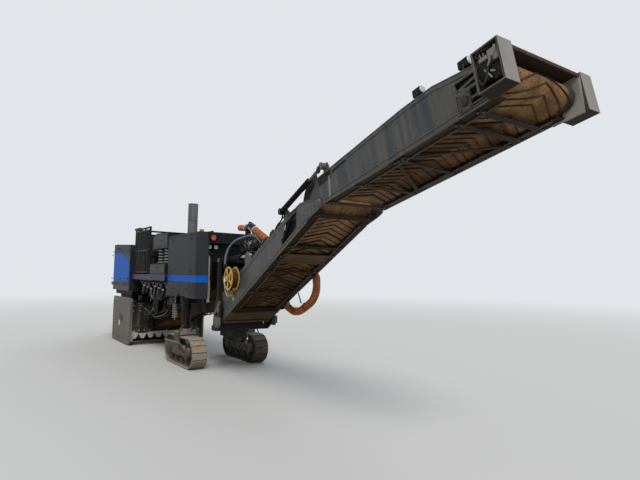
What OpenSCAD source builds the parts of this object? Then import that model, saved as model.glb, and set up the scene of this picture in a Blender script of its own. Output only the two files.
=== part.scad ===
// Compact cold planer milling machine with a slewing, folding front conveyor.
// Units are millimetres. X runs forward to the conveyor, Y to the machine's left, Z up.
// The zero of X is over the front crawlers until machine() moves it to the footprint's middle.

/* [Crawlers] */
// length of one crawler over its shoes
crawler_length = 1470; // [1200:10:1800]
// height of one crawler over its shoes
crawler_height = 550; // [450:5:700]
// width of a shoe
shoe_width = 290; // [240:5:340]
// height of the pad on each shoe
grouser_height = 16; // [8:1:30]
// length of the pad on each shoe
pad_length = 102; // [60:2:110]
// number of shoes round one crawler
shoe_count = 28; // [22:1:30]
// distance between the front crawlers' middles
front_gauge = 1250; // [1200:10:1400]
// distance between the rear crawlers' middles
rear_gauge = 930; // [860:10:980]
// distance from the front to the rear steering axes
wheelbase = 4950; // [4800:10:5200]
// radius of the column that carries a crawler
column_r = 85; // [60:1:100]
// top of the columns inside their tubes
column_top = 1560; // [1450:10:1650]

/* [Chassis] */
// lower edge of the main rails
rail_z = 1000; // [950:10:1050]
// height of the main rails
rail_height = 270; // [220:5:280]
// distance from the middle to the inner face of a rail
rail_inner = 430; // [420:5:450]
// thickness of a rail
rail_thickness = 40; // [25:1:60]
// front end of the rails
rail_front = 560; // [500:10:600]
// wall of a leg tube
tube_wall = 28; // [15:1:40]
// clearance of a column in its tube
column_clearance = 0.3; // [0.2:0.05:0.8]

// radius of the bores in the towing eyes
eye_r = 27; // [15:1:32]
// thickness of a towing eye
eye_thickness = 40; // [25:1:50]

/* [Front hood] */
// half width of the front hood
hood_half = 742; // [700:1:760]
// rear face of the front hood
hood_rear = -810; // [-860:5:-780]
// where the corner chamfers start
hood_shoulder = 690; // [640:5:720]
// front face of the hood's cheeks
hood_front = 785; // [750:5:800]
// half width of the front face between the chamfers
hood_face_half = 570; // [540:5:600]
// lower edge of the hood
hood_bottom = 1270; // [1270:5:1320]
// top of the hood
hood_top = 2480; // [2300:10:2600]
// depth of the recess in the front face
recess_depth = 230; // [150:5:280]
// half width of the recess
recess_half = 545; // [500:5:560]
// lower edge of the blue band
band_z = 1565; // [1500:5:1650]
// height of the blue band
band_height = 120; // [80:5:160]
// thickness of the blue panels
panel_skin = 4; // [2:1:8]

/* [Operator's platform] */
// top of the platform's floor
floor_z = 1685; // [1650:5:1750]
// thickness of the floor
floor_thickness = 50; // [30:5:80]
// half width of the platform
platform_half = 800; // [760:5:840]
// rear end of the platform ahead of the drum's axis
platform_ahead = 380; // [340:10:460]
// length of an operator's desk
desk_length = 1070; // [900:10:1150]
// joint between the platform and the engine bay
platform_joint = 30; // [10:5:40]
// top of the railings
railing_top = 2770; // [2650:10:2850]
// radius of a railing tube
railing_r = 22; // [15:1:30]
// radius of the ribs on the columns under the desks' covers
rib_r = 68; // [50:1:69]

/* [Engine hood] */
// half width of the engine bay
bay_half = 860; // [830:5:880]
// where the bay's full width ends, ahead of the rear steering axes
shoulder_ahead = 100; // [50:10:200]
// rear face of the engine bay behind the rear steering axes
bay_behind = 670; // [600:10:720]
// half width at the rear face
bay_tail_half = 620; // [580:5:650]
// lower edge of the engine bay
bay_bottom = 1270; // [1270:5:1320]
// height where the lid starts
lid_z = 2255; // [2200:5:2300]
// top of the lid at its rear
lid_top = 2465; // [2400:5:2520]
// wall of the bay and lid
bay_wall = 30; // [15:1:40]
// gap between lid and bay
lid_gap = 6; // [5:1:12]

/* [Milling drum] */
// distance from the rear crawlers' front ends to the drum's axis
drum_ahead = 605; // [580:5:640]
// radius over the pick tips
cutting_r = 452; // [400:2:460]
// radius of the drum's shell
drum_r = 345; // [300:5:350]
// width of the drum
drum_width = 1250; // [1200:10:1270]
// gap between the picks and the ground
drum_ground_gap = 18; // [10:1:60]
// number of pick rows round the drum
pick_rows = 24; // [12:1:30]
// picks on each half of the drum
picks_per_half = 33; // [20:1:40]
// radius of a pick's base
pick_r = 20; // [14:1:24]
// radius of the drum's shaft
drum_shaft_r = 110; // [80:5:130]

/* [Drum box] */
// distance from the middle to the inner face of a drum box wall
box_inner = 645; // [640:1:660]
// thickness of the drum box walls
box_wall = 35; // [20:1:45]
// front face of the drum box ahead of the drum's axis
box_ahead = 650; // [610:10:680]
// rear face of the drum box walls behind the drum's axis
box_behind = 520; // [500:5:530]
// lower edge of the drum box walls
box_bottom = 130; // [100:5:200]
// top of the drum box
box_top = 1000; // [960:5:1000]
// thickness of the scraper door
scraper_thickness = 30; // [20:1:40]
// top of the scraper door
scraper_top = 750; // [700:5:760]

/* [Side plates] */
// outer face of the side plates
side_plate_outer = 905; // [895:1:915]
// thickness of a side plate
side_plate_thickness = 40; // [25:1:45]
// gap between the front apron and a side plate
apron_gap = 10; // [6:1:20]
// front end of a side plate ahead of the drum's axis
plate_ahead = 820; // [760:10:900]
// rear end of a side plate behind the drum's axis
plate_behind = 890; // [790:10:950]
// top of a side plate
side_plate_top = 1110; // [1000:5:1130]
// lower edge of a side plate
side_plate_z = 14; // [8:1:30]

/* [Primary conveyor] */
// half width over the primary conveyor's boards
primary_half = 345; // [320:5:355]
// front end of the primary conveyor
primary_front = 900; // [800:10:940]
// height of the primary conveyor's underside at its front
primary_z = 1505; // [1480:5:1560]
// height of the primary conveyor
primary_height = 330; // [280:5:350]
// height of the primary conveyor's underside at its rear
primary_low_z = 319; // [300:1:360]
// thickness of the primary conveyor's boards
primary_wall = 20; // [10:1:30]

/* [Slew yoke] */
// slewing axis ahead of the front crawlers
slew_x = 1000; // [980:5:1040]
// slewing angle as photographed
slew_angle = -4.74; // [-8:0.01:0]
// lower face of the slewing ring
slew_z = 700; // [680:5:720]
// distance of the lift axis from the slewing axis
lift_reach = 292; // [270:2:310]
// height of the lift axis
lift_z = 1101; // [1080:1:1120]
// radius of the lift pins
lift_pin_r = 30; // [20:1:40]
// gap between a conveyor board and a yoke arm
yoke_gap = 22; // [14:1:40]
// thickness of a yoke arm
yoke_arm = 40; // [25:1:50]
// height of the yoke's tower pins
tower_z = 1950; // [1900:5:2000]
// reach of the yoke's tower pins
tower_reach = 200; // [160:5:240]

/* [Front conveyor] */
// outer width of the conveyor
conveyor_width = 890; // [860:2:910]
// thickness of a side board
board_thickness = 12; // [8:1:20]
// slope of the lower section
lower_angle = 27.5; // [20:0.1:32]
// length of the lower section
lower_length = 3527; // [3300:1:3700]
// board height near the base
board_low = 452; // [430:1:470]
// board height at the fold
board_fold = 345; // [330:1:360]
// slope of the upper section
upper_angle = 12.14; // [5:0.01:18]
// length of the upper section's boards
upper_length = 2480; // [2300:1:2600]
// board height at the head
board_head = 428; // [400:1:440]
// gap between the two sections at the fold
fold_gap = 8; // [6:1:14]
// length over which the lower boards slope down to the fold pins
nose_length = 390; // [340:5:420]
// height of the lower boards halfway down that slope
nose_height = 234; // [220:2:250]
// reach of the upper boards back over that slope
heel_length = 120; // [80:5:130]
// length of the frame that carries the belt tensioner at the head
tension_length = 290; // [200:5:320]
// width of the tensioner's bearing block
bearing_width = 120; // [90:5:150]
// lift axis from the lower section's end
lift_u = 90; // [70:1:110]
// lift axis above the lower section's underside
lift_w = 180; // [160:1:200]
// radius of the fold pins
fold_pin_r = 24; // [16:1:32]
// width of the truss flanges
flange = 55; // [40:1:70]
// thickness of the belt
belt_thickness = 12; // [8:1:16]
// half width of the belt
belt_half = 400; // [360:5:410]
// height of a cleat
cleat_height = 18; // [10:1:25]
// distance between cleats
cleat_pitch = 195; // [150:5:400]
// radius of the belt drums
belt_drum_r = 115; // [100:1:130]

/* [Cylinders] */
// outer radius of the lift cylinders
lift_barrel_r = 48; // [35:1:60]
// radius of the lift rods
lift_rod_r = 26; // [18:1:34]
// outer radius of the fold cylinders
fold_barrel_r = 36; // [28:1:45]
// radius of the fold rods
fold_rod_r = 18; // [12:1:24]
// radius of the cylinder pins
cyl_pin_r = 20; // [14:1:24]
// lift cylinders' axes outside the boards
lift_cyl_v = -40; // [-45:1:-36]
// fold cylinders' axes outside the boards
fold_cyl_v = 44; // [42:1:60]
// radius of the head drum's shaft
head_shaft_r = 40; // [30:1:50]
// running clearance at pins and rods
pin_clearance = 0.1; // [0.05:0.01:0.3]

/* [Suction duct and reel] */
// radius of the suction duct
duct_r = 62; // [50:1:75]
// radius of the hose reel's rims
reel_r = 190; // [150:5:230]
// width of the hose reel
reel_width = 125; // [90:5:170]
// reel's axis along the lower section
reel_u = 855; // [780:5:950]
// reel's axis above the lower section's underside
reel_w = 400; // [360:5:420]

/* [Hidden] */
$fn = 64;
board_half = conveyor_width / 2;
drum_back = wheelbase - crawler_length / 2 - drum_ahead;
drum_z = cutting_r + drum_ground_gap;
box_front = -drum_back + box_ahead;
box_rear = -drum_back - box_behind;
side_plate_front = -drum_back + plate_ahead;
side_plate_rear = -drum_back - plate_behind;
platform_rear = -drum_back + platform_ahead;
desk_rear = hood_rear - desk_length;
bay_front = platform_rear - platform_joint;
bay_shoulder = -wheelbase + shoulder_ahead;
bay_rear = -wheelbase - bay_behind;
primary_angle = atan2(primary_z - primary_low_z, primary_front - box_front + 20);
hinge_r = 12;
hinge_x = bay_rear - 24;
hinge_z = lid_z + 22;
hood_mid_x = (hood_rear + hood_shoulder) / 2;
tube_bottom = rail_z + 160;
tube_top = column_top + 120;
head_reach = lift_reach - lift_u * cos(lower_angle) + lift_w * sin(lower_angle)
    + lower_length * cos(lower_angle) + (upper_length + belt_drum_r + 60) * cos(upper_angle);
tip_x = slew_x + head_reach * cos(slew_angle);
tip_y = head_reach * sin(slew_angle) - board_half - 190;
rear_x = -wheelbase - crawler_length / 2;
origin_x = (tip_x + 145 + rear_x) / 2;
origin_y = (tip_y + side_plate_outer) / 2;

// lift triangle, from the slewing axis and in the conveyor's own plane
lift_ear_u = 1400;
lift_ear_w = board_low + 70;
ear_du = lift_ear_u - lift_u;
ear_dw = lift_ear_w - lift_w;
lift_ear_x = lift_reach + ear_du * cos(lower_angle) - ear_dw * sin(lower_angle);
lift_ear_z = lift_z + ear_du * sin(lower_angle) + ear_dw * cos(lower_angle);
lift_cyl_len = norm([lift_ear_x - tower_reach, lift_ear_z - tower_z]);
lift_cyl_angle = atan2(lift_ear_z - tower_z, lift_ear_x - tower_reach);

// fold triangle, in the lower section's plane
fold_u = lower_length;
fold_w = 45;
fold_relief = 70;
knuckle_r = 60;
bend = lower_angle - upper_angle;
fold_ear_u = 190;
fold_ear_w = 420;
fold_base_u = lower_length - 790;
fold_base_w = board_fold + 95;
fe_u = fold_u + fold_ear_u * cos(bend) + (fold_ear_w - fold_w) * sin(bend);
fe_w = fold_w - fold_ear_u * sin(bend) + (fold_ear_w - fold_w) * cos(bend);
fold_cyl_len = norm([fe_u - fold_base_u, fe_w - fold_base_w]);
fold_cyl_angle = atan2(fe_w - fold_base_w, fe_u - fold_base_u);

corners = [
    // name, x, y
    ["front_right", 0, -front_gauge / 2],
    ["front_left", 0, front_gauge / 2],
    ["rear_right", -wheelbase, -rear_gauge / 2],
    ["rear_left", -wheelbase, rear_gauge / 2]
];

module machine() { translate([-origin_x, -origin_y, 0]) children(); }

// a plate drawn in X and Z, from y0 to y0 + w
module side_cut(y0, w) { translate([0, y0 + w, 0]) rotate([90, 0, 0]) linear_extrude(w) children(); }

module box(x0, x1, y0, y1, z0, z1) { translate([x0, y0, z0]) cube([x1 - x0, y1 - y0, z1 - z0]); }

module rod_y(x, y0, z, w, r) { translate([x, y0, z]) rotate([-90, 0, 0]) cylinder(h = w, r = r); }

module rod_x(x0, y, z, w, r) { translate([x0, y, z]) rotate([0, 90, 0]) cylinder(h = w, r = r); }

module rod_z(x, y, z0, h, r) { translate([x, y, z0]) cylinder(h = h, r = r); }

module both_sides() { children(); mirror([0, 1, 0]) children(); }

module slewed() { translate([slew_x, 0, 0]) rotate([0, 0, slew_angle]) children(); }

module lower_place() {
    slewed() translate([lift_reach, 0, lift_z]) rotate([0, -lower_angle, 0])
        translate([-lift_u, 0, -lift_w]) children();
}

module upper_place() {
    lower_place() translate([fold_u, 0, fold_w]) rotate([0, bend, 0]) translate([0, 0, -fold_w]) children();
}

/* Crawlers */
module crawler_outline() {
    r = crawler_height / 2 - grouser_height;
    half = crawler_length / 2 - crawler_height / 2;
    straight = 2 * half;
    arc = PI * r;
    loop = 2 * straight + 2 * arc;
    difference() {
        union() {
            for (s = [-half, half]) translate([s, r + grouser_height]) circle(r);
            translate([-half, grouser_height]) square([straight, 2 * r]);
            intersection() {
                union() {
                    for (s = [-half, half]) translate([s, r + grouser_height]) circle(r + grouser_height);
                    translate([-half, 0]) square([straight, 2 * (r + grouser_height)]);
                }
                for (i = [0 : shoe_count - 1]) {
                    d = (i + 0.5) * loop / shoe_count;
                    a = d < straight ? 0 : d < straight + arc ? (d - straight) / r * 180 / PI
                        : d < 2 * straight + arc ? 180 : 180 + (d - 2 * straight - arc) / r * 180 / PI;
                    cx = d < straight ? -half + d : d < straight + arc ? half
                        : d < 2 * straight + arc ? half - (d - straight - arc) : -half;
                    translate([cx, r + grouser_height]) rotate(a)
                        translate([-pad_length / 2, -r - grouser_height - 10]) square([pad_length, grouser_height + 20]);
                }
            }
        }
        for (s = [-half, half]) translate([s, r + grouser_height]) circle(r - 45);
        translate([-half, grouser_height + 45]) square([straight, 2 * r - 90]);
    }
}

module crawler(x, y) {
    color([0.42, 0.38, 0.33]) machine() translate([x, y, 0]) side_cut(-shoe_width / 2, shoe_width) crawler_outline();
}

module carriage(x, y) {
    r = crawler_height / 2 - grouser_height - 45;
    half = crawler_length / 2 - crawler_height / 2;
    mid = crawler_height / 2;
    color([0.2, 0.2, 0.21]) machine() translate([x, y, 0]) {
        // sprocket and idler seated in the loop
        for (s = [-half, half]) rod_y(s, -70, mid, 140, r - 0.3);
        // side frame between them and its rollers
        box(-half, half, -60, 60, mid - 105, mid + 105);
        for (i = [0 : 3]) rod_y(-half + 60 + i * (2 * half - 120) / 3, -62, mid - r + 62.3, 124, 62);
        for (s = [-1, 1]) translate([0, s * 105, 0]) {
            box(-half + 60, half - 60, -45, 45, mid - 70, mid + 60);
            for (e = [-half, half]) rod_y(e, -45, mid, 90, 105);
        }
        // saddle over the loop and the column that turns in the leg tube
        for (s = [-1, 1]) side_cut(s > 0 ? shoe_width / 2 + 8 : -shoe_width / 2 - 34, 26)
            polygon([[-150, mid - 60], [150, mid - 60], [110, crawler_height + 70], [-110, crawler_height + 70]]);
        box(-110, 110, -shoe_width / 2 - 34, shoe_width / 2 + 34, crawler_height + 22, crawler_height + 70);
        rod_y(0, -shoe_width / 2 - 46, mid, shoe_width + 92, 42);
        rod_z(0, 0, crawler_height + 40, column_top - crawler_height - 40, column_r);
        rod_z(0, 0, crawler_height + 68, 60, column_r + 28);
    }
}

/* Chassis */
module leg_tube(x, y) {
    side = y > 0 ? 1 : -1;
    difference() {
        union() {
            rod_z(x, y, tube_bottom, tube_top - tube_bottom, column_r + tube_wall);
            // bracket from the tube to its rail
            translate([x - 90, side > 0 ? rail_inner + rail_thickness : y, tube_bottom])
                cube([180, abs(y) - rail_inner - rail_thickness, rail_z + rail_height - tube_bottom]);
        }
        rod_z(x, y, tube_bottom - 1, column_top - tube_bottom + 21, column_r + column_clearance);
    }
}

module rear_leg_tube(x, y) {
    side = y > 0 ? 1 : -1;
    difference() {
        rod_z(x, y, tube_bottom, tube_top - tube_bottom, column_r + tube_wall);
        rod_z(x, y, tube_bottom - 1, column_top - tube_bottom + 21, column_r + column_clearance);
    }
}

module leg_tubes() {
    color([0.17, 0.17, 0.18]) machine() {
        for (c = corners) if (c[1] == 0) leg_tube(c[1], c[2]); else rear_leg_tube(c[1], c[2]);
    }
}

module frame() {
    ro = rail_inner + rail_thickness;
    color([0.15, 0.15, 0.16]) machine() {
        difference() {
            both_sides() box(bay_rear + 60, rail_front, rail_inner, ro, rail_z, rail_z + rail_height);
            // saddles that hold the rear leg tubes
            for (c = corners) if (c[1] != 0) rod_z(c[1], c[2], rail_z - 1, rail_height + 2, column_r + tube_wall);
        }
        // cross members
        for (x = [bay_rear + 60, -wheelbase + 320]) box(x, x + 60, -rail_inner, rail_inner, rail_z + 20, rail_z + rail_height - 20);
        box(rail_front - 60, rail_front, -rail_inner, rail_inner, rail_z, rail_z + 190);
        // nose that carries the slewing ring
        difference() {
            union() {
                box(rail_front - 60, slew_x, -150, 150, slew_z - 120, slew_z);
                rod_z(slew_x, 0, slew_z - 120, 120, 150);
                box(rail_front - 60, rail_front, -150, 150, slew_z - 120, rail_z + 100);
            }
            rod_z(slew_x, 0, slew_z - 130, 140, 60 + pin_clearance);
        }
        // towing and lashing eyes at the rear and under the nose
        both_sides() {
            translate([bay_rear + 60, 0, rail_z + 120]) side_cut(300, eye_thickness) difference() {
                polygon([[1, -60], [1, 60], [-90, 55], [-150, 25], [-150, -25], [-90, -55]]);
                translate([-95, 0]) circle(eye_r);
            }
            translate([slew_x - 20, 0, slew_z - 120]) side_cut(75, eye_thickness) difference() {
                polygon([[-90, 1], [90, 1], [60, -60], [30, -85], [-30, -85], [-60, -60]]);
                translate([0, -40]) circle(eye_r);
            }
        }
    }
}

module drum_box() {
    color([0.13, 0.13, 0.14]) machine() {
        difference() {
            union() {
                both_sides() box(box_rear, box_front, box_inner, box_inner + box_wall, box_bottom, box_top);
                box(box_rear, box_front, -box_inner, box_inner, box_top - box_wall, box_top);
                box(box_front - box_wall, box_front, -box_inner, box_inner, box_bottom + 120, box_top);
                box(box_rear, box_rear + box_wall, -box_inner, box_inner, scraper_top - 60, box_top);
            }
            rod_y(-drum_back, -box_inner - box_wall - 1, drum_z, 2 * (box_inner + box_wall) + 2, drum_shaft_r + 0.3);
            // mouth of the primary conveyor
            box(box_front - box_wall - 1, box_front + 1, -primary_half - 5, primary_half + 5, 300, 760);
        }
        // guides for the side plates
        both_sides() for (x = [side_plate_rear + 450, side_plate_front - 330])
            box(x - 45, x + 45, box_inner + box_wall, side_plate_outer - side_plate_thickness - 0.3, 620, box_top - 40);
    }
}

module front_apron() {
    t = 20;
    x0 = box_front + 0.3;
    teeth = 9;
    half = side_plate_outer - side_plate_thickness - apron_gap;
    pitch = 2 * half / teeth;
    color([0.12, 0.12, 0.13]) machine() {
        difference() {
            box(x0, x0 + t, -half, half, 300, rail_z - 20);
            box(x0 - 1, x0 + t + 1, -primary_half - 5, primary_half + 5, 290, 760);
        }
        for (i = [0 : teeth - 1]) translate([x0, -half + i * pitch, 0]) rotate([90, 0, 90])
            linear_extrude(t) polygon([[0, 301], [pitch, 301], [pitch, 270], [0.68 * pitch, 150], [0.32 * pitch, 150], [0, 270]]);
        box(x0, x0 + 70, -half, half, 60, 95);
        for (y = [-half + 20, -15, half - 50]) box(x0 + 15, x0 + 55, y, y + 30, 94, 330);
    }
}

module hood_plan(skin = 0) {
    h = hood_half + skin;
    polygon([[hood_rear, -h], [hood_shoulder, -h], [hood_front + skin, -hood_face_half], [hood_front + skin, -recess_half],
        [hood_front + skin, recess_half], [hood_front + skin, hood_face_half], [hood_shoulder, h], [hood_rear, h]]);
}

module front_hood() {
    color([0.19, 0.2, 0.21]) machine() difference() {
        union() {
            translate([0, 0, hood_bottom]) linear_extrude(hood_top - 30 - hood_bottom) hood_plan();
            translate([0, 0, hood_top - 31]) linear_extrude(31) hood_plan(-22);
        }
        // open recess in the front face, under the visor
        box(hood_front - recess_depth, hood_front + 50, -recess_half, recess_half, hood_bottom - 1, hood_top - 190);
        // tunnel for the primary conveyor
        box(hood_rear - 1, hood_front, -primary_half - 30, primary_half + 30, hood_bottom - 1, primary_z + primary_height + 110);
        // notches for the front leg tubes
        for (c = corners) if (c[1] == 0) {
            box(-210, 210, c[2] > 0 ? c[2] - 160 : -hood_half - 1, c[2] > 0 ? hood_half + 1 : c[2] + 160, hood_bottom - 1, hood_bottom + 60);
            rod_z(c[1], c[2], hood_bottom - 1, tube_top - hood_bottom + 21, column_r + tube_wall + 0.3);
        }
    }
}

module blue_panels() {
    color([0.02, 0.25, 0.62]) machine() {
        difference() {
            translate([0, 0, band_z]) linear_extrude(band_height) difference() {
                hood_plan(panel_skin);
                hood_plan(0);
                translate([hood_front - 20, -recess_half]) square([60, 2 * recess_half]);
            }
        }
        both_sides() side_cut(bay_half, panel_skin)
            polygon([[bay_shoulder + 60, 1490], [bay_front - 30, 1490], [bay_front - 30, 1990], [bay_shoulder + 760, 2240], [bay_shoulder + 60, 2240]]);
    }
}

module exhaust() {
    color([0.3, 0.3, 0.31]) machine() {
        difference() {
            rod_z(hood_rear + 110, -290, hood_top, 700, 100);
            rod_z(hood_rear + 110, -290, hood_top + 60, 700, 88);
        }
        rod_z(hood_rear + 110, -290, hood_top + 60, 620, 60);
    }
}

module platform() {
    color([0.14, 0.14, 0.15]) machine() {
        box(platform_rear + 0.3, hood_rear - 0.3, -platform_half, platform_half, floor_z - floor_thickness, floor_z);
        // skirt along each side and supports on the rails
        both_sides() box(platform_rear + 0.3, hood_rear - 0.3, platform_half - 20, platform_half, floor_z - 120, floor_z);
        both_sides() for (x = [platform_rear + 60, hood_rear - 1290, hood_rear - 190])
            box(x, x + 60, rail_inner, rail_inner + rail_thickness, rail_z + rail_height, floor_z - floor_thickness);
        // ladder on the left side
        for (s = [hood_rear - 940, hood_rear - 520]) box(s, s + 30, platform_half, platform_half + 45, 560, floor_z);
        for (i = [0 : 3]) box(hood_rear - 920, hood_rear - 510, platform_half, platform_half + 45, 590 + i * 290, 620 + i * 290);
    }
}

module railing() {
    first = platform_rear + 50;
    pitch = (desk_rear - 160 - first) / 3;
    color([0.16, 0.17, 0.18]) machine() {
        both_sides() {
            for (i = [0 : 3]) rod_z(first + i * pitch, platform_half - 50, floor_z, railing_top - floor_z, railing_r);
            for (z = [railing_top - 12, floor_z + 560]) rod_x(first, platform_half - 50, z, 3 * pitch, railing_r);
            // folded wind screens
            for (i = [0, 1]) box(first + i * pitch + 60, first + (i + 1) * pitch - 60, platform_half - 62, platform_half - 38,
                floor_z + 30, railing_top - 80);
        }
        for (z = [railing_top - 12, floor_z + 560]) rod_y(first, -platform_half + 50, z, 2 * platform_half - 100, railing_r);
    }
}

module console() {
    color([0.24, 0.24, 0.25]) machine() {
        both_sides() {
            // operator's desk with its hinged cover
            box(desk_rear, hood_rear - 60, 420, platform_half - 20, floor_z, floor_z + 230);
            box(desk_rear + 320, hood_rear - 60, 450, platform_half - 200, floor_z + 230, floor_z + 560);
            // ribbed columns that carry the cover's outer edge
            for (x = [desk_rear + 470, hood_rear - 210]) {
                rod_z(x, platform_half - 130, floor_z + 229, 331, 40);
                for (i = [0 : 4]) rod_z(x, platform_half - 130, floor_z + 246 + i * 62, 34, rib_r);
            }
            side_cut(430, platform_half - 60 - 430)
                polygon([[desk_rear + 30, floor_z + 559], [hood_rear - 60, floor_z + 559], [hood_rear - 60, floor_z + 870],
                    [desk_rear + 280, floor_z + 900], [desk_rear + 30, floor_z + 820]]);
            // seat
            box(desk_rear - 570, desk_rear - 170, 330, 700, floor_z + 430, floor_z + 530);
            box(desk_rear - 650, desk_rear - 560, 330, 700, floor_z + 430, floor_z + 930);
            rod_z(desk_rear - 370, 515, floor_z, 431, 60);
        }
    }
}

module bay_plan(inset = 0) {
    h = bay_half - inset;
    polygon([[bay_front - inset, -h], [bay_shoulder, -h], [bay_rear + inset, -bay_tail_half + inset],
        [bay_rear + inset, bay_tail_half - inset], [bay_shoulder, h], [bay_front - inset, h]]);
}

module engine_bay() {
    color([0.19, 0.2, 0.21]) machine() difference() {
        translate([0, 0, bay_bottom]) linear_extrude(lid_z - lid_gap - bay_bottom) bay_plan();
        translate([0, 0, bay_bottom + bay_wall]) linear_extrude(lid_z) bay_plan(bay_wall);
        for (c = corners) if (c[1] != 0) rod_z(c[1], c[2], bay_bottom - 1, tube_top, column_r + tube_wall + 0.3);
        // opening for the cooling grille
        box(bay_rear - 1, bay_rear + bay_wall + 1, -480, 480, 1450, lid_z - 120);
    }
    color([0.19, 0.2, 0.21]) machine() both_sides() difference() {
        side_cut(385, 30) polygon([[bay_rear, lid_z - 90], [bay_rear, lid_z - lid_gap], [bay_rear - 8, lid_z + 44],
            [bay_rear - 42, lid_z + 44], [bay_rear - 42, lid_z - 40]]);
        rod_y(hinge_x, 380, hinge_z, 40, hinge_r + pin_clearance);
    }
}

module engine_block() {
    color([0.3, 0.3, 0.32]) machine()
        box(bay_shoulder + 150, bay_front - 240, -400, 400, bay_bottom + bay_wall, bay_bottom + bay_wall + 820);
}

module rear_grille() {
    color([0.1, 0.1, 0.11]) machine() {
        difference() {
            box(bay_rear + 2, bay_rear + bay_wall, -479.7, 479.7, 1450.3, lid_z - 120.3);
            box(bay_rear + 1, bay_rear + bay_wall + 1, -450, 450, 1480, lid_z - 150);
        }
        for (i = [0 : 11]) translate([bay_rear + 2, -450, 1500 + i * 50]) cube([bay_wall - 2, 900, 16]);
    }
}

module primary_place() {
    translate([primary_front, 0, primary_z]) rotate([0, -primary_angle, 0]) children();
}

module primary_conveyor() {
    len = (primary_front - box_front + 20) / cos(primary_angle);
    color([0.16, 0.16, 0.17]) machine() primary_place() {
        both_sides() box(-len, 0, primary_half - primary_wall, primary_half, 0, primary_height);
        for (i = [0 : 4]) box(-len + 200 + i * (len - 400) / 4, -len + 260 + i * (len - 400) / 4,
            -primary_half + primary_wall, primary_half - primary_wall, 0, 20);
        rod_y(-110, -primary_half + primary_wall, 130, 2 * (primary_half - primary_wall), 30);
        rod_y(-len + 130, -primary_half + primary_wall, 130, 2 * (primary_half - primary_wall), 30);
    }
    // brackets to the main rails
    color([0.16, 0.16, 0.17]) machine() both_sides()
        for (x = [hood_rear - 90, hood_rear + 190]) box(x, x + 90, primary_half - 1, rail_inner, rail_z + 60, rail_z + 190);
}

module primary_belt() {
    len = (primary_front - box_front + 20) / cos(primary_angle);
    half = primary_half - primary_wall - 30;
    color([0.09, 0.08, 0.08]) machine() primary_place() side_cut(-half, 2 * half) difference() {
        union() {
            for (x = [-len + 130, -110]) translate([x, 130]) circle(90);
            translate([-len + 130, 40]) square([len - 240, 180]);
        }
        for (x = [-len + 130, -110]) translate([x, 130]) circle(90 - belt_thickness);
        translate([-len + 130, 40 + belt_thickness]) square([len - 240, 180 - 2 * belt_thickness]);
    }
    color([0.09, 0.08, 0.08]) machine() primary_place() for (x = [-len + 130, -110]) difference() {
        rod_y(x, -half + 4, 130, 2 * half - 8, 90 - belt_thickness + 0.2);
        rod_y(x, -half, 130, 2 * half, 30.3);
    }
}

module lamps() {
    color([0.75, 0.2, 0.1]) machine() {
        rod_z(hood_front - 330, -560, hood_top, 62, 42);
        for (y = [-480, 480]) rod_x(hood_front, y, hood_top - 110, 45, 48);
    }
}

module hood_lid() {
    color([0.2, 0.21, 0.22]) machine() difference() {
        intersection() {
            translate([0, 0, lid_z]) linear_extrude(lid_top - lid_z) bay_plan();
            side_cut(-bay_half - 1, 2 * bay_half + 2)
                polygon([[bay_rear - 1, lid_z - 1], [bay_front + 1, lid_z - 1], [bay_front + 1, lid_top - 60], [bay_shoulder + 300, lid_top], [bay_rear - 1, lid_top]]);
        }
        translate([0, 0, lid_z - 1]) linear_extrude(lid_top - bay_wall - 60 - lid_z + 1) bay_plan(bay_wall);
        both_sides() box(bay_rear - 1, bay_rear + 20, 379, 421, lid_z - 1, lid_z + 60);
    }
    color([0.2, 0.21, 0.22]) machine() both_sides() {
        rod_y(hinge_x, 360, hinge_z, 80, hinge_r);
        for (y = [360, 420]) box(hinge_x - 12, bay_rear + 10, y, y + 19, hinge_z - 12, hinge_z + 12);
    }
}

/* Moving tools under the chassis */
module milling_drum() {
    color([0.35, 0.33, 0.3]) machine() translate([-drum_back, 0, drum_z]) {
        rod_y(0, -drum_width / 2, 0, drum_width, drum_r);
        rod_y(0, -box_inner - box_wall, 0, 2 * (box_inner + box_wall), drum_shaft_r);
        for (h = [-1, 1]) for (i = [0 : picks_per_half - 1]) {
            y = h * (24 + i * (drum_width / 2 - 48) / (picks_per_half - 1));
            rotate([0, h * i * 360 * 5 / pick_rows, 0]) translate([0, y, 0]) {
                translate([0, 0, drum_r - 12]) cylinder(h = cutting_r - drum_r - 28, r1 = 30, r2 = pick_r);
                translate([0, 0, cutting_r - 42]) cylinder(h = 42, r1 = pick_r - 6, r2 = 4);
            }
        }
    }
}

module scraper_door() {
    x1 = box_rear - 5;
    color([0.13, 0.13, 0.14]) machine() {
        box(x1 - scraper_thickness, x1, -box_inner - box_wall, box_inner + box_wall, 40, scraper_top);
        // runners inside the drum box walls
        both_sides() box(x1, box_rear - 0.3, box_inner, box_inner + box_wall, 300, scraper_top - 40);
    }
}

module side_plate() {
    y0 = side_plate_outer - side_plate_thickness;
    side_cut(y0, side_plate_thickness) polygon([
        [side_plate_rear, side_plate_z + 60], [side_plate_rear + 90, side_plate_z], [side_plate_front - 120, side_plate_z],
        [side_plate_front, side_plate_z + 90], [side_plate_front, side_plate_top - 60], [side_plate_front - 60, side_plate_top],
        [side_plate_rear + 60, side_plate_top], [side_plate_rear, side_plate_top - 120]]);
    box(side_plate_rear + 90, side_plate_front - 120, y0 + 8, side_plate_outer + 18, side_plate_z, side_plate_z + 70);
}

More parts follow.
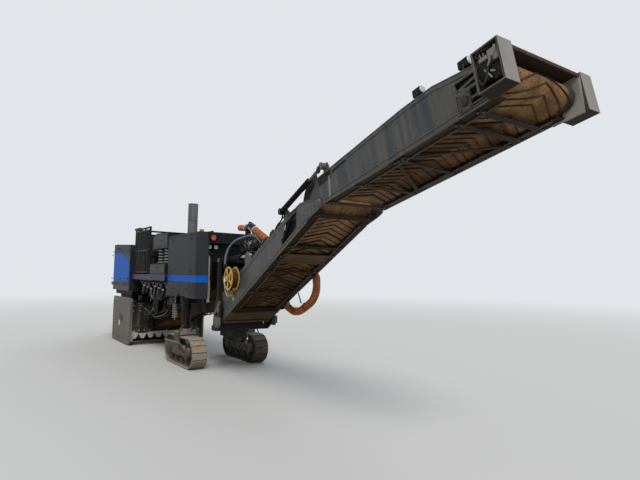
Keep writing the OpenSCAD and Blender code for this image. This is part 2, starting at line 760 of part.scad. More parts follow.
/* Slewing front conveyor */
module slew_yoke() {
    y0 = board_half + yoke_gap;
    color([0.3, 0.31, 0.32]) machine() slewed() {
        rod_z(0, 0, slew_z - 120, 140, 60);
        rod_z(0, 0, slew_z + 0.3, 60, 190);
        box(-60, 130, -y0 - yoke_arm, y0 + yoke_arm, slew_z + 30, slew_z + 110);
        both_sides() {
            side_cut(y0, yoke_arm) polygon([[-20, slew_z + 30], [130, slew_z + 30], [250, slew_z + 110], [lift_reach + 70, lift_z - 40],
                [lift_reach + 60, lift_z + 70], [tower_reach + 55, lift_z + 220], [tower_reach + 50, tower_z + 50],
                [tower_reach - 45, tower_z + 50], [tower_reach - 50, lift_z + 200], [40, lift_z - 60]]);
            rod_y(lift_reach, board_half - board_thickness, lift_z, yoke_gap + board_thickness + yoke_arm + 14, lift_pin_r);
            rod_y(tower_reach, board_half + lift_cyl_v - lift_barrel_r - 7, tower_z, yoke_gap + yoke_arm - lift_cyl_v + lift_barrel_r + 7, cyl_pin_r);
            rod_y(tower_reach, y0 - 9, tower_z, 10, 36);
        }
    }
}

module hose_reel() {
    y1 = -board_half - 14;
    color([0.9, 0.72, 0.1]) machine() lower_place() difference() {
        union() {
            for (s = [0, reel_width - 10]) rod_y(reel_u, y1 - s - 10, reel_w, 10, reel_r);
            rod_y(reel_u, y1 - reel_width, reel_w, reel_width, reel_r * 0.55);
        }
        rod_y(reel_u, y1 - reel_width - 50, reel_w, reel_width + 100, 28 + pin_clearance);
    }
}

module board_sides(len, h0, h1) {
    both_sides() {
        side_cut(board_half - board_thickness, board_thickness)
            polygon([[0, 0], [len - fold_relief, 0], [len, fold_w + 5], [len, fold_w + 50], [len - 0.53 * nose_length, nose_height],
                [len - nose_length, h1 - 33], [len - 780, h1], [0, h0]]);
        box(0, len - fold_relief, board_half - 2 * flange, board_half - board_thickness + 1, 0, 10);
    }
}

// bars under the belt, from one flange to the other: [place on the right flange, place on the left flange, width]
module truss(bars) {
    reach = board_half - flange;
    for (b = bars) {
        run = b[1] - b[0];
        translate([b[0], -reach, -12]) rotate([0, 0, atan2(2 * reach, run)]) translate([-0.4 * flange, -b[2] / 2, 0])
            cube([norm([run, 2 * reach]) + 0.8 * flange, b[2], 12.5]);
    }
}

module lower_frame() {
    color([0.17, 0.18, 0.19]) machine() lower_place() {
        difference() {
            union() {
                difference() {
                    board_sides(lower_length - fold_gap, board_low, board_fold);
                    // open pocket in front of each fold hinge
                    both_sides() side_cut(board_half - board_thickness - 1, board_thickness + 2)
                        polygon([[fold_u - 1050, 75], [fold_u - 870, 288], [fold_u - 520, 280], [fold_u - 470, 150], [fold_u - 570, 75]]);
                }
                truss([[80, 80, 60], [530, 530, 70], [640, 1180, 34], [1200, 1200, 50], [1826, 1240, 34], [1880, 1880, 50],
                    [lower_length - 1237, lower_length - 1237, 220], [lower_length - 930, lower_length - 930, 60],
                    [lower_length - 180, lower_length - 180, 80]]);
                // tail plate and its cross bars
                box(0, 420, -board_half + board_thickness, board_half - board_thickness, -4, 8);
                for (u = [700, lower_length - 1627, lower_length - 427]) rod_y(u, -board_half + 2, 215, 2 * board_half - 4, 22);
                both_sides() {
                    // bosses of the lift pins, ears of the lift and fold cylinders and of the hinge
                    rod_y(lift_u, board_half - board_thickness - 20, lift_w, board_thickness + 20, 70);
                    side_cut(board_half - 3, 13) polygon([[lift_ear_u - 140, board_low - 110], [lift_ear_u + 140, board_low - 110],
                        [lift_ear_u + 55, lift_ear_w + 45], [lift_ear_u - 55, lift_ear_w + 45]]);
                    side_cut(board_half - 26, 14.5) polygon([[fold_base_u - 110, board_fold - 30], [fold_base_u + 110, board_fold - 30],
                        [fold_base_u + 40, fold_base_w + 40], [fold_base_u - 40, fold_base_w + 40]]);
                    rod_y(lift_ear_u, board_half - 9, lift_ear_w, 7, 32);
                    rod_y(fold_base_u, board_half - 13, fold_base_w, fold_cyl_v + fold_barrel_r + 18, cyl_pin_r);
                    side_cut(board_half - 1, 7) polygon([[fold_u - 320, 10], [fold_u - 90, 10], [fold_u - 90, 118], [fold_u - 320, 100]]);
                    side_cut(board_half + 5, 16) polygon([[fold_u - 320, 10], [fold_u - 90, -20], [fold_u + 20, -20], [fold_u + 48, fold_w],
                        [fold_u + 30, fold_w + 45], [fold_u - 90, 118], [fold_u - 320, 100]]);
                }
                // spindle of the hose reel
                rod_y(reel_u, -board_half - reel_width - 30, reel_w, reel_width + 24, 28);
                rod_y(reel_u, -board_half - 7, reel_w, 8, 60);
            }
            rod_y(lift_u, -board_half - 50, lift_w, conveyor_width + 100, lift_pin_r + pin_clearance);
            rod_y(fold_u, -board_half - 50, fold_w, conveyor_width + 100, fold_pin_r + pin_clearance);
            // room for the swing of the upper section's knuckle
            both_sides() rod_y(fold_u, board_half - board_thickness - 1, fold_w, board_thickness + 1, knuckle_r + 10);
        }
    }
}

module belt_loop(u0, u1, w0) {
    side_cut(-belt_half, 2 * belt_half) difference() {
        union() {
            for (u = [u0, u1]) translate([u, w0]) circle(belt_drum_r);
            translate([u0, w0 - belt_drum_r]) square([u1 - u0, 2 * belt_drum_r]);
        }
        union() {
            for (u = [u0, u1]) translate([u, w0]) circle(belt_drum_r - belt_thickness);
            translate([u0, w0 - belt_drum_r + belt_thickness]) square([u1 - u0, 2 * belt_drum_r - 2 * belt_thickness]);
        }
    }
}

module chevrons(u0, u1, w) {
    n = floor((u1 - u0) / cleat_pitch);
    translate([0, 0, w]) linear_extrude(cleat_height + 0.5) for (i = [0 : n - 1]) translate([u0 + i * cleat_pitch, 0])
        polygon([[0, -belt_half + 40], [22, -belt_half + 40], [202, 0], [22, belt_half - 40], [0, belt_half - 40], [180, 0]]);
}

module lower_belt() {
    w0 = 40 + belt_drum_r;
    color([0.36, 0.25, 0.15]) machine() lower_place() {
        belt_loop(150, lower_length - 190, w0);
        chevrons(200, lower_length - 420, w0 - belt_drum_r - cleat_height);
        chevrons(200, lower_length - 420, w0 + belt_drum_r - 0.5);
        for (u = [150, lower_length - 190]) rod_y(u, -belt_half + 4, w0, 2 * belt_half - 8, belt_drum_r - belt_thickness + 0.2);
        // the tail shaft ends at the bosses of the lift pins
        rod_y(150, -board_half + board_thickness + 20.3, w0, conveyor_width - 2 * board_thickness - 40.6, 30);
        rod_y(lower_length - 190, -board_half + board_thickness + 0.3, w0, conveyor_width - 2 * board_thickness - 0.6, 30);
    }
}

module suction_duct() {
    y0 = board_half + duct_r + 20;
    pts = [[1620, 120], [1650, -60], [1500, -220], [1180, -260], [820, -190], [560, 40]];
    color([0.62, 0.36, 0.18]) machine() lower_place() {
        for (i = [0 : len(pts) - 2]) {
            d = pts[i + 1] - pts[i];
            translate([pts[i][0], y0, pts[i][1]]) rotate([0, 90 - atan2(d[1], d[0]), 0]) cylinder(h = norm(d), r = duct_r);
            if (i > 0) translate([pts[i][0], y0, pts[i][1]]) sphere(duct_r + 3);
        }
        // stubs into the side board
        for (p = [pts[0], pts[len(pts) - 1]]) {
            translate([p[0], y0, p[1]]) sphere(duct_r + 3);
            rod_y(p[0], board_half + 0.3, p[1], duct_r + 19.7, duct_r - 3);
        }
    }
}

module upper_frame() {
    color([0.17, 0.18, 0.19]) machine() upper_place() {
        difference() {
            union() {
                translate([fold_gap, 0, 0]) both_sides() {
                    side_cut(board_half - board_thickness, board_thickness) difference() {
                        polygon([[fold_relief, 0], [upper_length - fold_gap, 0], [upper_length - fold_gap, board_head - 100], [upper_length - 580, board_head],
                            [upper_length - 980, board_head], [480, board_head - 50], [-heel_length / 2, board_fold + 10], [-heel_length, nose_height],
                            [0, fold_w + 50], [0, fold_w + 5]]);
                        // windows of the belt tensioner
                        for (z = [[35, 185], [215, 300]]) translate([upper_length - 60 - tension_length, z[0]]) square([tension_length, z[1] - z[0]]);
                    }
                    box(fold_relief, upper_length - fold_gap, board_half - 2 * flange, board_half - board_thickness + 1, 0, 10);
                    // bearing block in the lower window, with its round boss
                    box(upper_length - 280 - bearing_width / 2, upper_length - 280 + bearing_width / 2, board_half - board_thickness, board_half + 14, 34, 186);
                    rod_y(upper_length - 280, board_half - 1, 110, 27, 0.36 * bearing_width);
                }
                truss([[160, 160, 60], [700, 700, 50], [1310, 760, 36], [1355, 1290, 34], [1410, 1960, 36], [2060, 2060, 60],
                    [upper_length - 200, upper_length - 200, 60]]);
                for (u = [500, upper_length - 980, upper_length - 280]) rod_y(u, -board_half + 2, 215, 2 * board_half - 4, 22);
                both_sides() {
                    rod_y(fold_u - lower_length, board_half - board_thickness, fold_w, board_thickness + 36, fold_pin_r);
                    rod_y(fold_u - lower_length, board_half - board_thickness, fold_w, board_thickness, knuckle_r);
                    side_cut(board_half - 14, 14.5) polygon([[fold_ear_u - 60, 250], [fold_ear_u + 120, 250], [fold_ear_u + 40, fold_ear_w + 40], [fold_ear_u - 40, fold_ear_w + 40]]);
                    rod_y(fold_ear_u, board_half - 2, fold_ear_w, fold_cyl_v - 24 - 4, 30);
                }
            }
            // bores of the head drum's shaft
            rod_y(upper_length + 20, -board_half - 1, 40 + belt_drum_r, conveyor_width + 2, head_shaft_r + 0.3);
        }
    }
}

module upper_belt() {
    w0 = 40 + belt_drum_r;
    head = upper_length + 20;
    color([0.42, 0.3, 0.18]) machine() upper_place() {
        belt_loop(190, head, w0);
        chevrons(240, head - 260, w0 - belt_drum_r - cleat_height);
        chevrons(240, head - 260, w0 + belt_drum_r - 0.5);
        for (u = [190, head]) rod_y(u, -belt_half + 4, w0, 2 * belt_half - 8, belt_drum_r - belt_thickness + 0.2);
        rod_y(190, -board_half + board_thickness + 0.3, w0, conveyor_width - 2 * board_thickness - 0.6, 30);
        rod_y(head, -board_half, w0, conveyor_width, head_shaft_r);
    }
}

module head_drives() {
    u0 = upper_length + 0.3;
    w0 = 40 + belt_drum_r;
    color([0.33, 0.33, 0.34]) machine() upper_place() {
        both_sides() {
            difference() {
                box(u0 - 40, u0 + 190, board_half + 0.3, board_half + 160, -8, 330);
                box(u0 - 28, u0 + 178, board_half + 14, board_half + 161, 4, 318);
            }
            rod_y(upper_length + 20, board_half + 13, w0, 110, 75);
            box(upper_length - 30, upper_length + 70, board_half + 40, board_half + 120, w0 + 60, w0 + 130);
        }
        box(u0, u0 + 190, -board_half - 13, board_half + 13, 300, 312);
    }
}

/* Cylinders: the barrel's eye lies at the origin and the rod runs along +X */
module barrel(len, r, rod_r) {
    difference() {
        union() {
            rod_x(0, 0, 0, len, r);
            rod_y(0, -r, 0, 2 * r, 44);
        }
        rod_x(120, 0, 0, len, rod_r + pin_clearance);
        rod_y(0, -r - 1, 0, 2 * r + 2, cyl_pin_r + pin_clearance);
    }
}

module rod_piece(start, full, rod_r, r) {
    rod_x(start, 0, 0, full - start - 30, rod_r);
    rod_y(full, -r, 0, 2 * r, 42);
}

module lift_cyl_place(side) {
    slewed() translate([tower_reach, side * (board_half + lift_cyl_v), tower_z]) rotate([0, -lift_cyl_angle, 0]) children();
}

module fold_cyl_place(side) {
    lower_place() translate([fold_base_u, side * (board_half + fold_cyl_v), fold_base_w]) rotate([0, -fold_cyl_angle, 0]) children();
}

module lift_barrel(side) { color([0.2, 0.2, 0.21]) machine() lift_cyl_place(side) barrel(800, lift_barrel_r, lift_rod_r); }
module lift_rod(side) { color([0.7, 0.7, 0.72]) machine() lift_cyl_place(side) rod_piece(330, lift_cyl_len, lift_rod_r, 20); }
module fold_barrel(side) { color([0.2, 0.2, 0.21]) machine() fold_cyl_place(side) barrel(760, fold_barrel_r, fold_rod_r); }
module fold_rod(side) { color([0.7, 0.7, 0.72]) machine() fold_cyl_place(side) rod_piece(250, fold_cyl_len, fold_rod_r, 24); }

frame();
leg_tubes();
drum_box();
front_apron();
front_hood();
blue_panels();
exhaust();
platform();
railing();
console();
engine_bay();
engine_block();
rear_grille();
primary_conveyor();
primary_belt();
lamps();
hood_lid();
milling_drum();
scraper_door();
color([0.33, 0.33, 0.34]) machine() mirror([0, 1, 0]) side_plate();  // side_plate_right
color([0.33, 0.33, 0.34]) machine() side_plate();  // side_plate_left
for (c = corners) {
    carriage(c[1], c[2]);
    crawler(c[1], c[2]);
}
slew_yoke();
hose_reel();
lower_frame();
lower_belt();
suction_duct();
upper_frame();
upper_belt();
head_drives();
lift_barrel(-1);  // lift_barrel_right
lift_rod(-1);  // lift_rod_right
lift_barrel(1);  // lift_barrel_left
lift_rod(1);  // lift_rod_left
fold_barrel(-1);  // fold_barrel_right
fold_rod(-1);  // fold_rod_right
fold_barrel(1);  // fold_barrel_left
fold_rod(1);  // fold_rod_left
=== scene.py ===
import math
import random

import bpy
from mathutils import Matrix, Vector


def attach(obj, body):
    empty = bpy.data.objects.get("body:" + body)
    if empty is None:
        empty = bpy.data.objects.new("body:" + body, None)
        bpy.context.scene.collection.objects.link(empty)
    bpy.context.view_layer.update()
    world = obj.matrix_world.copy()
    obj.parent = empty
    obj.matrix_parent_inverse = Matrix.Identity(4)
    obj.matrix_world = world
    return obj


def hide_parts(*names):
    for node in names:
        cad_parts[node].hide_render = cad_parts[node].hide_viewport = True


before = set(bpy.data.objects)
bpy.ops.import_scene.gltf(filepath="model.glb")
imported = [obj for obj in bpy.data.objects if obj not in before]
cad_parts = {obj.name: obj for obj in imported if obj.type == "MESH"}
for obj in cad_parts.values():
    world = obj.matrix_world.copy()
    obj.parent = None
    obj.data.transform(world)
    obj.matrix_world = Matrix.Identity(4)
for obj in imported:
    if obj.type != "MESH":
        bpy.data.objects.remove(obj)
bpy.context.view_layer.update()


# Places of the machine's parts, in metres

MACHINE = Matrix.Translation((-0.729405, 0.113704, 0.0))
SLEW_AXIS_X = 1.0
SLEW_ANGLE = math.radians(-4.74)
SLEWED = MACHINE @ Matrix.Translation((SLEW_AXIS_X, 0, 0)) @ Matrix.Rotation(SLEW_ANGLE, 4, "Z")
LOWER_TILT = math.radians(27.5)
UPPER_BEND = math.radians(15.36)
FOLD_U = 3.527
FOLD_W = 0.045
LOWER = (SLEWED @ Matrix.Translation((0.292, 0, 1.101)) @ Matrix.Rotation(-LOWER_TILT, 4, "Y")
         @ Matrix.Translation((-0.090, 0, -0.180)))
UPPER = (LOWER @ Matrix.Translation((FOLD_U, 0, FOLD_W)) @ Matrix.Rotation(UPPER_BEND, 4, "Y")
         @ Matrix.Translation((0, 0, -FOLD_W)))

RIGHT, UP, DOWN, FORWARD = (0, -1, 0), (0, 0, 1), (0, 0, -1), (1, 0, 0)

HOOD_SIDE = 0.742
BAY_SIDE = 0.860
RAIL_FACE = -0.469
APRON_FACE = -2.9395
EXHAUST = (-0.70, -0.29)

CRAWLER_LENGTH = 1.470
CRAWLER_HEIGHT = 0.550
SHOE_WIDTH = 0.290
PAD_HEIGHT = 0.016
SHOE_COUNT = 28
ROLLER_Z = 0.123
CRAWLERS = {
    "front_right": (0.0, -0.625),
    "front_left": (0.0, 0.625),
    "rear_right": (-4.950, -0.465),
    "rear_left": (-4.950, 0.465),
}


# Camera at the photograph's viewing angle

CAMERA_PLACE = Vector((7.925, -3.804, 1.722))
CAMERA_YAW = math.radians(143.316)
CAMERA_PITCH = math.radians(4.362)
CAMERA_ROLL = math.radians(0.85)
CAMERA_LENS = 26.02


def set_camera():
    """The camera that was fitted to the photograph."""
    ahead = Vector((math.cos(CAMERA_YAW) * math.cos(CAMERA_PITCH),
                    math.sin(CAMERA_YAW) * math.cos(CAMERA_PITCH),
                    math.sin(CAMERA_PITCH)))
    level = ahead.cross(Vector(UP)).normalized()
    upright = level.cross(ahead)
    side = level * math.cos(CAMERA_ROLL) + upright * math.sin(CAMERA_ROLL)
    top = upright * math.cos(CAMERA_ROLL) - level * math.sin(CAMERA_ROLL)
    camera = bpy.data.objects.new("camera", bpy.data.cameras.new("camera"))
    camera.data.sensor_fit = "HORIZONTAL"
    camera.data.sensor_width = 36
    camera.data.lens = CAMERA_LENS
    camera.data.clip_end = 300
    turned = Matrix((side, top, -ahead)).transposed().to_4x4()
    camera.matrix_world = Matrix.Translation(CAMERA_PLACE) @ turned
    bpy.context.scene.collection.objects.link(camera)
    bpy.context.scene.camera = camera


# Shader helpers

def srgb(red, green, blue):
    """A colour of 0 to 255 as the shaders want it."""
    def linear(value):
        value = value / 255
        return value / 12.92 if value <= 0.04045 else ((value + 0.055) / 1.055) ** 2.4
    return (linear(red), linear(green), linear(blue), 1.0)


def add_node(tree, kind, **settings):
    node = tree.nodes.new(kind)
    for name, value in settings.items():
        setattr(node, name, value)
    return node


def noise(tree, vector, scale, detail=3.0, roughness=0.55):
    node = add_node(tree, "ShaderNodeTexNoise")
    node.inputs["Scale"].default_value = scale
    node.inputs["Detail"].default_value = detail
    node.inputs["Roughness"].default_value = roughness
    tree.links.new(vector, node.inputs["Vector"])
    return node.outputs["Fac"]


def stretch(tree, vector, scale):
    node = add_node(tree, "ShaderNodeMapping")
    node.inputs["Scale"].default_value = scale
    tree.links.new(vector, node.inputs["Vector"])
    return node.outputs["Vector"]


def band(tree, value, low, high, out_low=0.0, out_high=1.0):
    """A value between low and high is spread over out_low to out_high, with soft ends."""
    node = add_node(tree, "ShaderNodeMapRange", interpolation_type="SMOOTHSTEP")
    node.inputs["From Min"].default_value = low
    node.inputs["From Max"].default_value = high
    node.inputs["To Min"].default_value = out_low
    node.inputs["To Max"].default_value = out_high
    tree.links.new(value, node.inputs["Value"])
    return node.outputs["Result"]


def calc(tree, operation, first, second):
    """A maths node on two values or sockets."""
    node = add_node(tree, "ShaderNodeMath", operation=operation)
    for socket, value in zip(node.inputs, (first, second)):
        if isinstance(value, (int, float)):
            socket.default_value = value
        else:
            tree.links.new(value, socket)
    return node.outputs["Value"]


def blend_colours(tree, mask, first, second):
    node = add_node(tree, "ShaderNodeMix", data_type="RGBA", blend_type="MIX")
    if isinstance(mask, (int, float)):
        node.inputs["Factor"].default_value = mask
    else:
        tree.links.new(mask, node.inputs["Factor"])
    for socket, value in ((node.inputs[6], first), (node.inputs[7], second)):
        if isinstance(value, tuple):
            socket.default_value = value
        else:
            tree.links.new(value, socket)
    return node.outputs[2]


def new_group(name, inputs, outputs):
    """An empty node group with named sockets: inputs are (name, kind, value), outputs (name, kind)."""
    group = bpy.data.node_groups.new(name, "ShaderNodeTree")
    for label, kind, value in inputs:
        socket = group.interface.new_socket(name=label, in_out="INPUT", socket_type=kind)
        socket.default_value = value
    for label, kind in outputs:
        group.interface.new_socket(name=label, in_out="OUTPUT", socket_type=kind)
    entry = group.nodes.new("NodeGroupInput")
    leave = group.nodes.new("NodeGroupOutput")
    return group, entry.outputs, leave.inputs


# Effects that several finishes share

COLOUR, FLOAT = "NodeSocketColor", "NodeSocketFloat"


def make_road_dust():
    """Milled dust: thick low down and on ledges, in patches elsewhere, with oily grime and painted shade on
    faces that look down.
    """
    group, entry, leave = new_group(
        "road_dust",
        [("Paint", COLOUR, (0, 0, 0, 1)), ("Dust", COLOUR, (1, 1, 1, 1)), ("Amount", FLOAT, 0.4),
         ("Ledges", FLOAT, 0.5), ("Low reach", FLOAT, 1.4), ("Under grime and shade", FLOAT, 0.8),
         ("Grime and shade", COLOUR, (0.018, 0.010, 0.005, 1))],
        [("Color", COLOUR), ("Mask", FLOAT)])
    links = group.links
    place = add_node(group, "ShaderNodeTexCoord").outputs["Object"]
    normal = add_node(group, "ShaderNodeNewGeometry").outputs["Normal"]
    split_place = add_node(group, "ShaderNodeSeparateXYZ")
    split_normal = add_node(group, "ShaderNodeSeparateXYZ")
    links.new(place, split_place.inputs[0])
    links.new(normal, split_normal.inputs[0])
    patches = band(group, noise(group, place, 2.3, 5.0, 0.62), 0.36, 0.70)
    specks = band(group, noise(group, place, 31.0, 4.0, 0.7), 0.34, 0.72)
    ledge = calc(group, "MULTIPLY", band(group, split_normal.outputs["Z"], 0.45, 0.9), entry["Ledges"])
    height = calc(group, "DIVIDE", split_place.outputs["Z"], entry["Low reach"])
    low = band(group, height, 0.15, 1.0, 1.0, 0.0)
    spread = calc(group, "ADD", calc(group, "MULTIPLY", patches, 0.55), calc(group, "MULTIPLY", low, 0.55))
    coat = calc(group, "MULTIPLY", spread, entry["Amount"])
    coat = calc(group, "ADD", coat, ledge)
    broken = calc(group, "ADD", calc(group, "MULTIPLY", specks, 0.75), 0.35)
    mask = calc(group, "MINIMUM", calc(group, "MULTIPLY", coat, broken), 0.96)
    mask = calc(group, "MAXIMUM", mask, 0.0)
    dusted = blend_colours(group, mask, entry["Paint"], entry["Dust"])
    # faces that look down are darkened to a warm brown: oily grime, and painted shade under the machine
    below = band(group, calc(group, "MULTIPLY", split_normal.outputs["Z"], -1.0), 0.35, 0.8)
    grime_and_shade = calc(group, "MULTIPLY", calc(group, "MULTIPLY", below, entry["Under grime and shade"]),
                 calc(group, "ADD", calc(group, "MULTIPLY", patches, 0.3), 0.7))
    links.new(blend_colours(group, grime_and_shade, dusted, entry["Grime and shade"]), leave["Color"])
    links.new(mask, leave["Mask"])
    return group


def make_rain_streaks():
    """Streaks that rain and slurry leave down a steep wall."""
    group, entry, leave = new_group(
        "rain_streaks",
        [("Base", COLOUR, (0, 0, 0, 1)), ("Streak", COLOUR, (1, 1, 1, 1)), ("Strength", FLOAT, 0.4),
         ("Lean", FLOAT, 0.0)],
        [("Color", COLOUR), ("Mask", FLOAT)])
    links = group.links
    place = add_node(group, "ShaderNodeTexCoord").outputs["Object"]
    turn = add_node(group, "ShaderNodeVectorRotate", rotation_type="Y_AXIS")
    links.new(place, turn.inputs["Vector"])
    links.new(entry["Lean"], turn.inputs["Angle"])
    fine = band(group, noise(group, stretch(group, turn.outputs[0], (16, 16, 0.7)), 1.0, 4.0, 0.65), 0.42,
                0.72)
    wide = band(group, noise(group, stretch(group, turn.outputs[0], (3.1, 3.1, 0.5)), 1.0, 2.0, 0.5), 0.40,
                0.66)
    both = calc(group, "MULTIPLY", calc(group, "ADD", calc(group, "MULTIPLY", fine, 0.7),
                                        calc(group, "MULTIPLY", wide, 0.45)), entry["Strength"])
    mask = calc(group, "MINIMUM", both, 1.0)
    links.new(blend_colours(group, mask, entry["Base"], entry["Streak"]), leave["Color"])
    links.new(mask, leave["Mask"])
    return group


def make_edge_wear():
    """Where paint is rubbed through on edges and corners."""
    group, entry, leave = new_group(
        "edge_wear", [("Width", FLOAT, 0.006), ("Amount", FLOAT, 0.6)], [("Mask", FLOAT)])
    links = group.links
    place = add_node(group, "ShaderNodeTexCoord").outputs["Object"]
    normal = add_node(group, "ShaderNodeNewGeometry").outputs["Normal"]
    rounded = add_node(group, "ShaderNodeBevel", samples=3)
    links.new(entry["Width"], rounded.inputs["Radius"])
    match = add_node(group, "ShaderNodeVectorMath", operation="DOT_PRODUCT")
    links.new(rounded.outputs["Normal"], match.inputs[0])
    links.new(normal, match.inputs[1])
    edge = band(group, match.outputs["Value"], 0.80, 0.99, 1.0, 0.0)
    broken = band(group, noise(group, place, 24.0, 4.0, 0.7), 0.42, 0.60)
    mask = calc(group, "MULTIPLY", calc(group, "MULTIPLY", edge, broken), entry["Amount"])
    links.new(mask, leave["Mask"])
    return group


def make_fine_grain():
    """Small unevenness of paint, rubber or cast iron, as a height and as a shade."""
    group, entry, leave = new_group(
        "fine_grain", [("Scale", FLOAT, 60.0), ("Depth", FLOAT, 1.0)], [("Height", FLOAT), ("Shade", FLOAT)])
    place = add_node(group, "ShaderNodeTexCoord").outputs["Object"]
    grain = add_node(group, "ShaderNodeTexNoise")
    grain.inputs["Detail"].default_value = 3.0
    grain.inputs["Roughness"].default_value = 0.6
    group.links.new(place, grain.inputs["Vector"])
    group.links.new(entry["Scale"], grain.inputs["Scale"])
    height = calc(group, "MULTIPLY", grain.outputs["Fac"], entry["Depth"])
    group.links.new(height, leave["Height"])
    group.links.new(band(group, grain.outputs["Fac"], 0.3, 0.7), leave["Shade"])
    return group


ROAD_DUST = make_road_dust()
RAIN_STREAKS = make_rain_streaks()
EDGE_WEAR = make_edge_wear()
FINE_GRAIN = make_fine_grain()


def use_group(tree, group, **values):
    node = add_node(tree, "ShaderNodeGroup", node_tree=group)
    for label, value in values.items():
        socket = node.inputs[label.replace("_", " ")]
        if isinstance(value, (int, float, tuple)):
            socket.default_value = value
        else:
            tree.links.new(value, socket)
    return node.outputs


# Finishes

DRY_DUST = srgb(128, 118, 104)
BARE_STEEL = srgb(140, 134, 126)


def new_finish(name, metallic=0.0, coat=0.0, shine=0.2):
    """A material with its tree and its shader."""
    finish = bpy.data.materials.new(name)
    finish.use_nodes = True
    tree = finish.node_tree
    shader = tree.nodes["Principled BSDF"]
    shader.inputs["Metallic"].default_value = metallic
    shader.inputs["Coat Weight"].default_value = coat
    shader.inputs["Coat Roughness"].default_value = 0.2
    shader.inputs["Specular IOR Level"].default_value = shine
    return finish, tree, shader


def bump(tree, shader, height, distance, strength=1.0):
    node = add_node(tree, "ShaderNodeBump")
    node.inputs["Distance"].default_value = distance
    node.inputs["Strength"].default_value = strength
    tree.links.new(height, node.inputs["Height"])
    tree.links.new(node.outputs["Normal"], shader.inputs["Normal"])


def painted(name, colour, dust=0.4, ledges=0.5, reach=1.4, streaks=0.25, lean=0.0, wear=0.5, gloss=0.42,
            dust_colour=DRY_DUST, shade=0.12, shine=0.16):
    """Painted sheet or plate: slight fading, streaks, worn edges and a coat of dust."""
    finish, tree, shader = new_finish(name, shine=shine)
    place = add_node(tree, "ShaderNodeTexCoord").outputs["Object"]
    cloud = noise(tree, place, 1.7, 3.0)
    faded = tuple(min(1.0, c * 1.7 + 0.012) for c in colour[:3]) + (1.0,)
    base = blend_colours(tree, band(tree, cloud, 0.35, 0.75, 0.0, shade), colour, faded)
    streak = use_group(tree, RAIN_STREAKS, Base=base, Streak=dust_colour, Strength=streaks, Lean=lean)
    edge = use_group(tree, EDGE_WEAR, Width=0.007, Amount=wear)
    worn = blend_colours(tree, edge["Mask"], streak["Color"], BARE_STEEL)
    dusty = use_group(tree, ROAD_DUST, Paint=worn, Dust=dust_colour, Amount=dust, Ledges=ledges,
                      Low_reach=reach)
    tree.links.new(dusty["Color"], shader.inputs["Base Color"])
    tree.links.new(band(tree, calc(tree, "ADD", dusty["Mask"], calc(tree, "MULTIPLY", streak["Mask"], 0.5)),
                        0.0, 0.7, gloss, 0.88), shader.inputs["Roughness"])
    grain = use_group(tree, FINE_GRAIN, Scale=140.0, Depth=1.0)
    bump(tree, shader, grain["Height"], 0.0012, 0.35)
    return finish


def raw_steel(name, colour, dust=0.7, rust=0.3, metallic=0.35, rough=0.62, reach=1.0, ledges=0.6, wear=0.8,
              dust_colour=DRY_DUST, bright=BARE_STEEL):
    """Unpainted steel or iron under dust, bright where it rubs."""
    finish, tree, shader = new_finish(name, metallic=metallic)
    place = add_node(tree, "ShaderNodeTexCoord").outputs["Object"]
    blotch = band(tree, noise(tree, place, 7.0, 4.0, 0.65), 0.40, 0.68, 0.0, rust)
    base = blend_colours(tree, blotch, colour, srgb(74, 48, 32))
    edge = use_group(tree, EDGE_WEAR, Width=0.006, Amount=wear)
    worn = blend_colours(tree, edge["Mask"], base, bright)
    dusty = use_group(tree, ROAD_DUST, Paint=worn, Dust=dust_colour, Amount=dust, Ledges=ledges,
                      Low_reach=reach)
    tree.links.new(dusty["Color"], shader.inputs["Base Color"])
    tree.links.new(band(tree, dusty["Mask"], 0.0, 0.8, rough, 0.92), shader.inputs["Roughness"])
    grain = use_group(tree, FINE_GRAIN, Scale=90.0, Depth=1.0)
    bump(tree, shader, grain["Height"], 0.002, 0.6)
    return finish


def rubbery(name, colour, dust=0.4, rough=0.6, ledges=0.4, reach=1.2, grain_scale=160.0,
            dust_colour=DRY_DUST):
    """Rubber, hose cover or dull plastic."""
    finish, tree, shader = new_finish(name)
    place = add_node(tree, "ShaderNodeTexCoord").outputs["Object"]
    cloud = band(tree, noise(tree, place, 5.0, 4.0), 0.35, 0.7, 0.0, 0.35)
    pale = tuple(min(1.0, c * 2.0 + 0.01) for c in colour[:3]) + (1.0,)
    base = blend_colours(tree, cloud, colour, pale)
    dusty = use_group(tree, ROAD_DUST, Paint=base, Dust=dust_colour, Amount=dust, Ledges=ledges,
                      Low_reach=reach)
    tree.links.new(dusty["Color"], shader.inputs["Base Color"])
    tree.links.new(band(tree, dusty["Mask"], 0.0, 0.7, rough, 0.9), shader.inputs["Roughness"])
    grain = use_group(tree, FINE_GRAIN, Scale=grain_scale, Depth=1.0)
    bump(tree, shader, grain["Height"], 0.0012, 0.4)
    return finish


def dusty_belt(name, colour, dust_colour):
    """Conveyor belt: brown with caked fines in long drifts, darker where it is scraped."""
    finish, tree, shader = new_finish(name, shine=0.06)
    place = add_node(tree, "ShaderNodeTexCoord").outputs["Object"]
    drifts = band(tree, noise(tree, stretch(tree, place, (1.6, 6.0, 1.6)), 1.0, 5.0, 0.65), 0.34, 0.68)
    crumbs = band(tree, noise(tree, place, 46.0, 4.0, 0.7), 0.38, 0.70)
    base = blend_colours(tree, drifts, colour, dust_colour)
    dark = blend_colours(tree, calc(tree, "MULTIPLY", crumbs, 0.55), base, srgb(34, 26, 20))
    tree.links.new(dark, shader.inputs["Base Color"])
    tree.links.new(band(tree, drifts, 0.0, 1.0, 0.72, 0.94), shader.inputs["Roughness"])
    bump(tree, shader, calc(tree, "ADD", crumbs, drifts), 0.004, 0.6)
    return finish


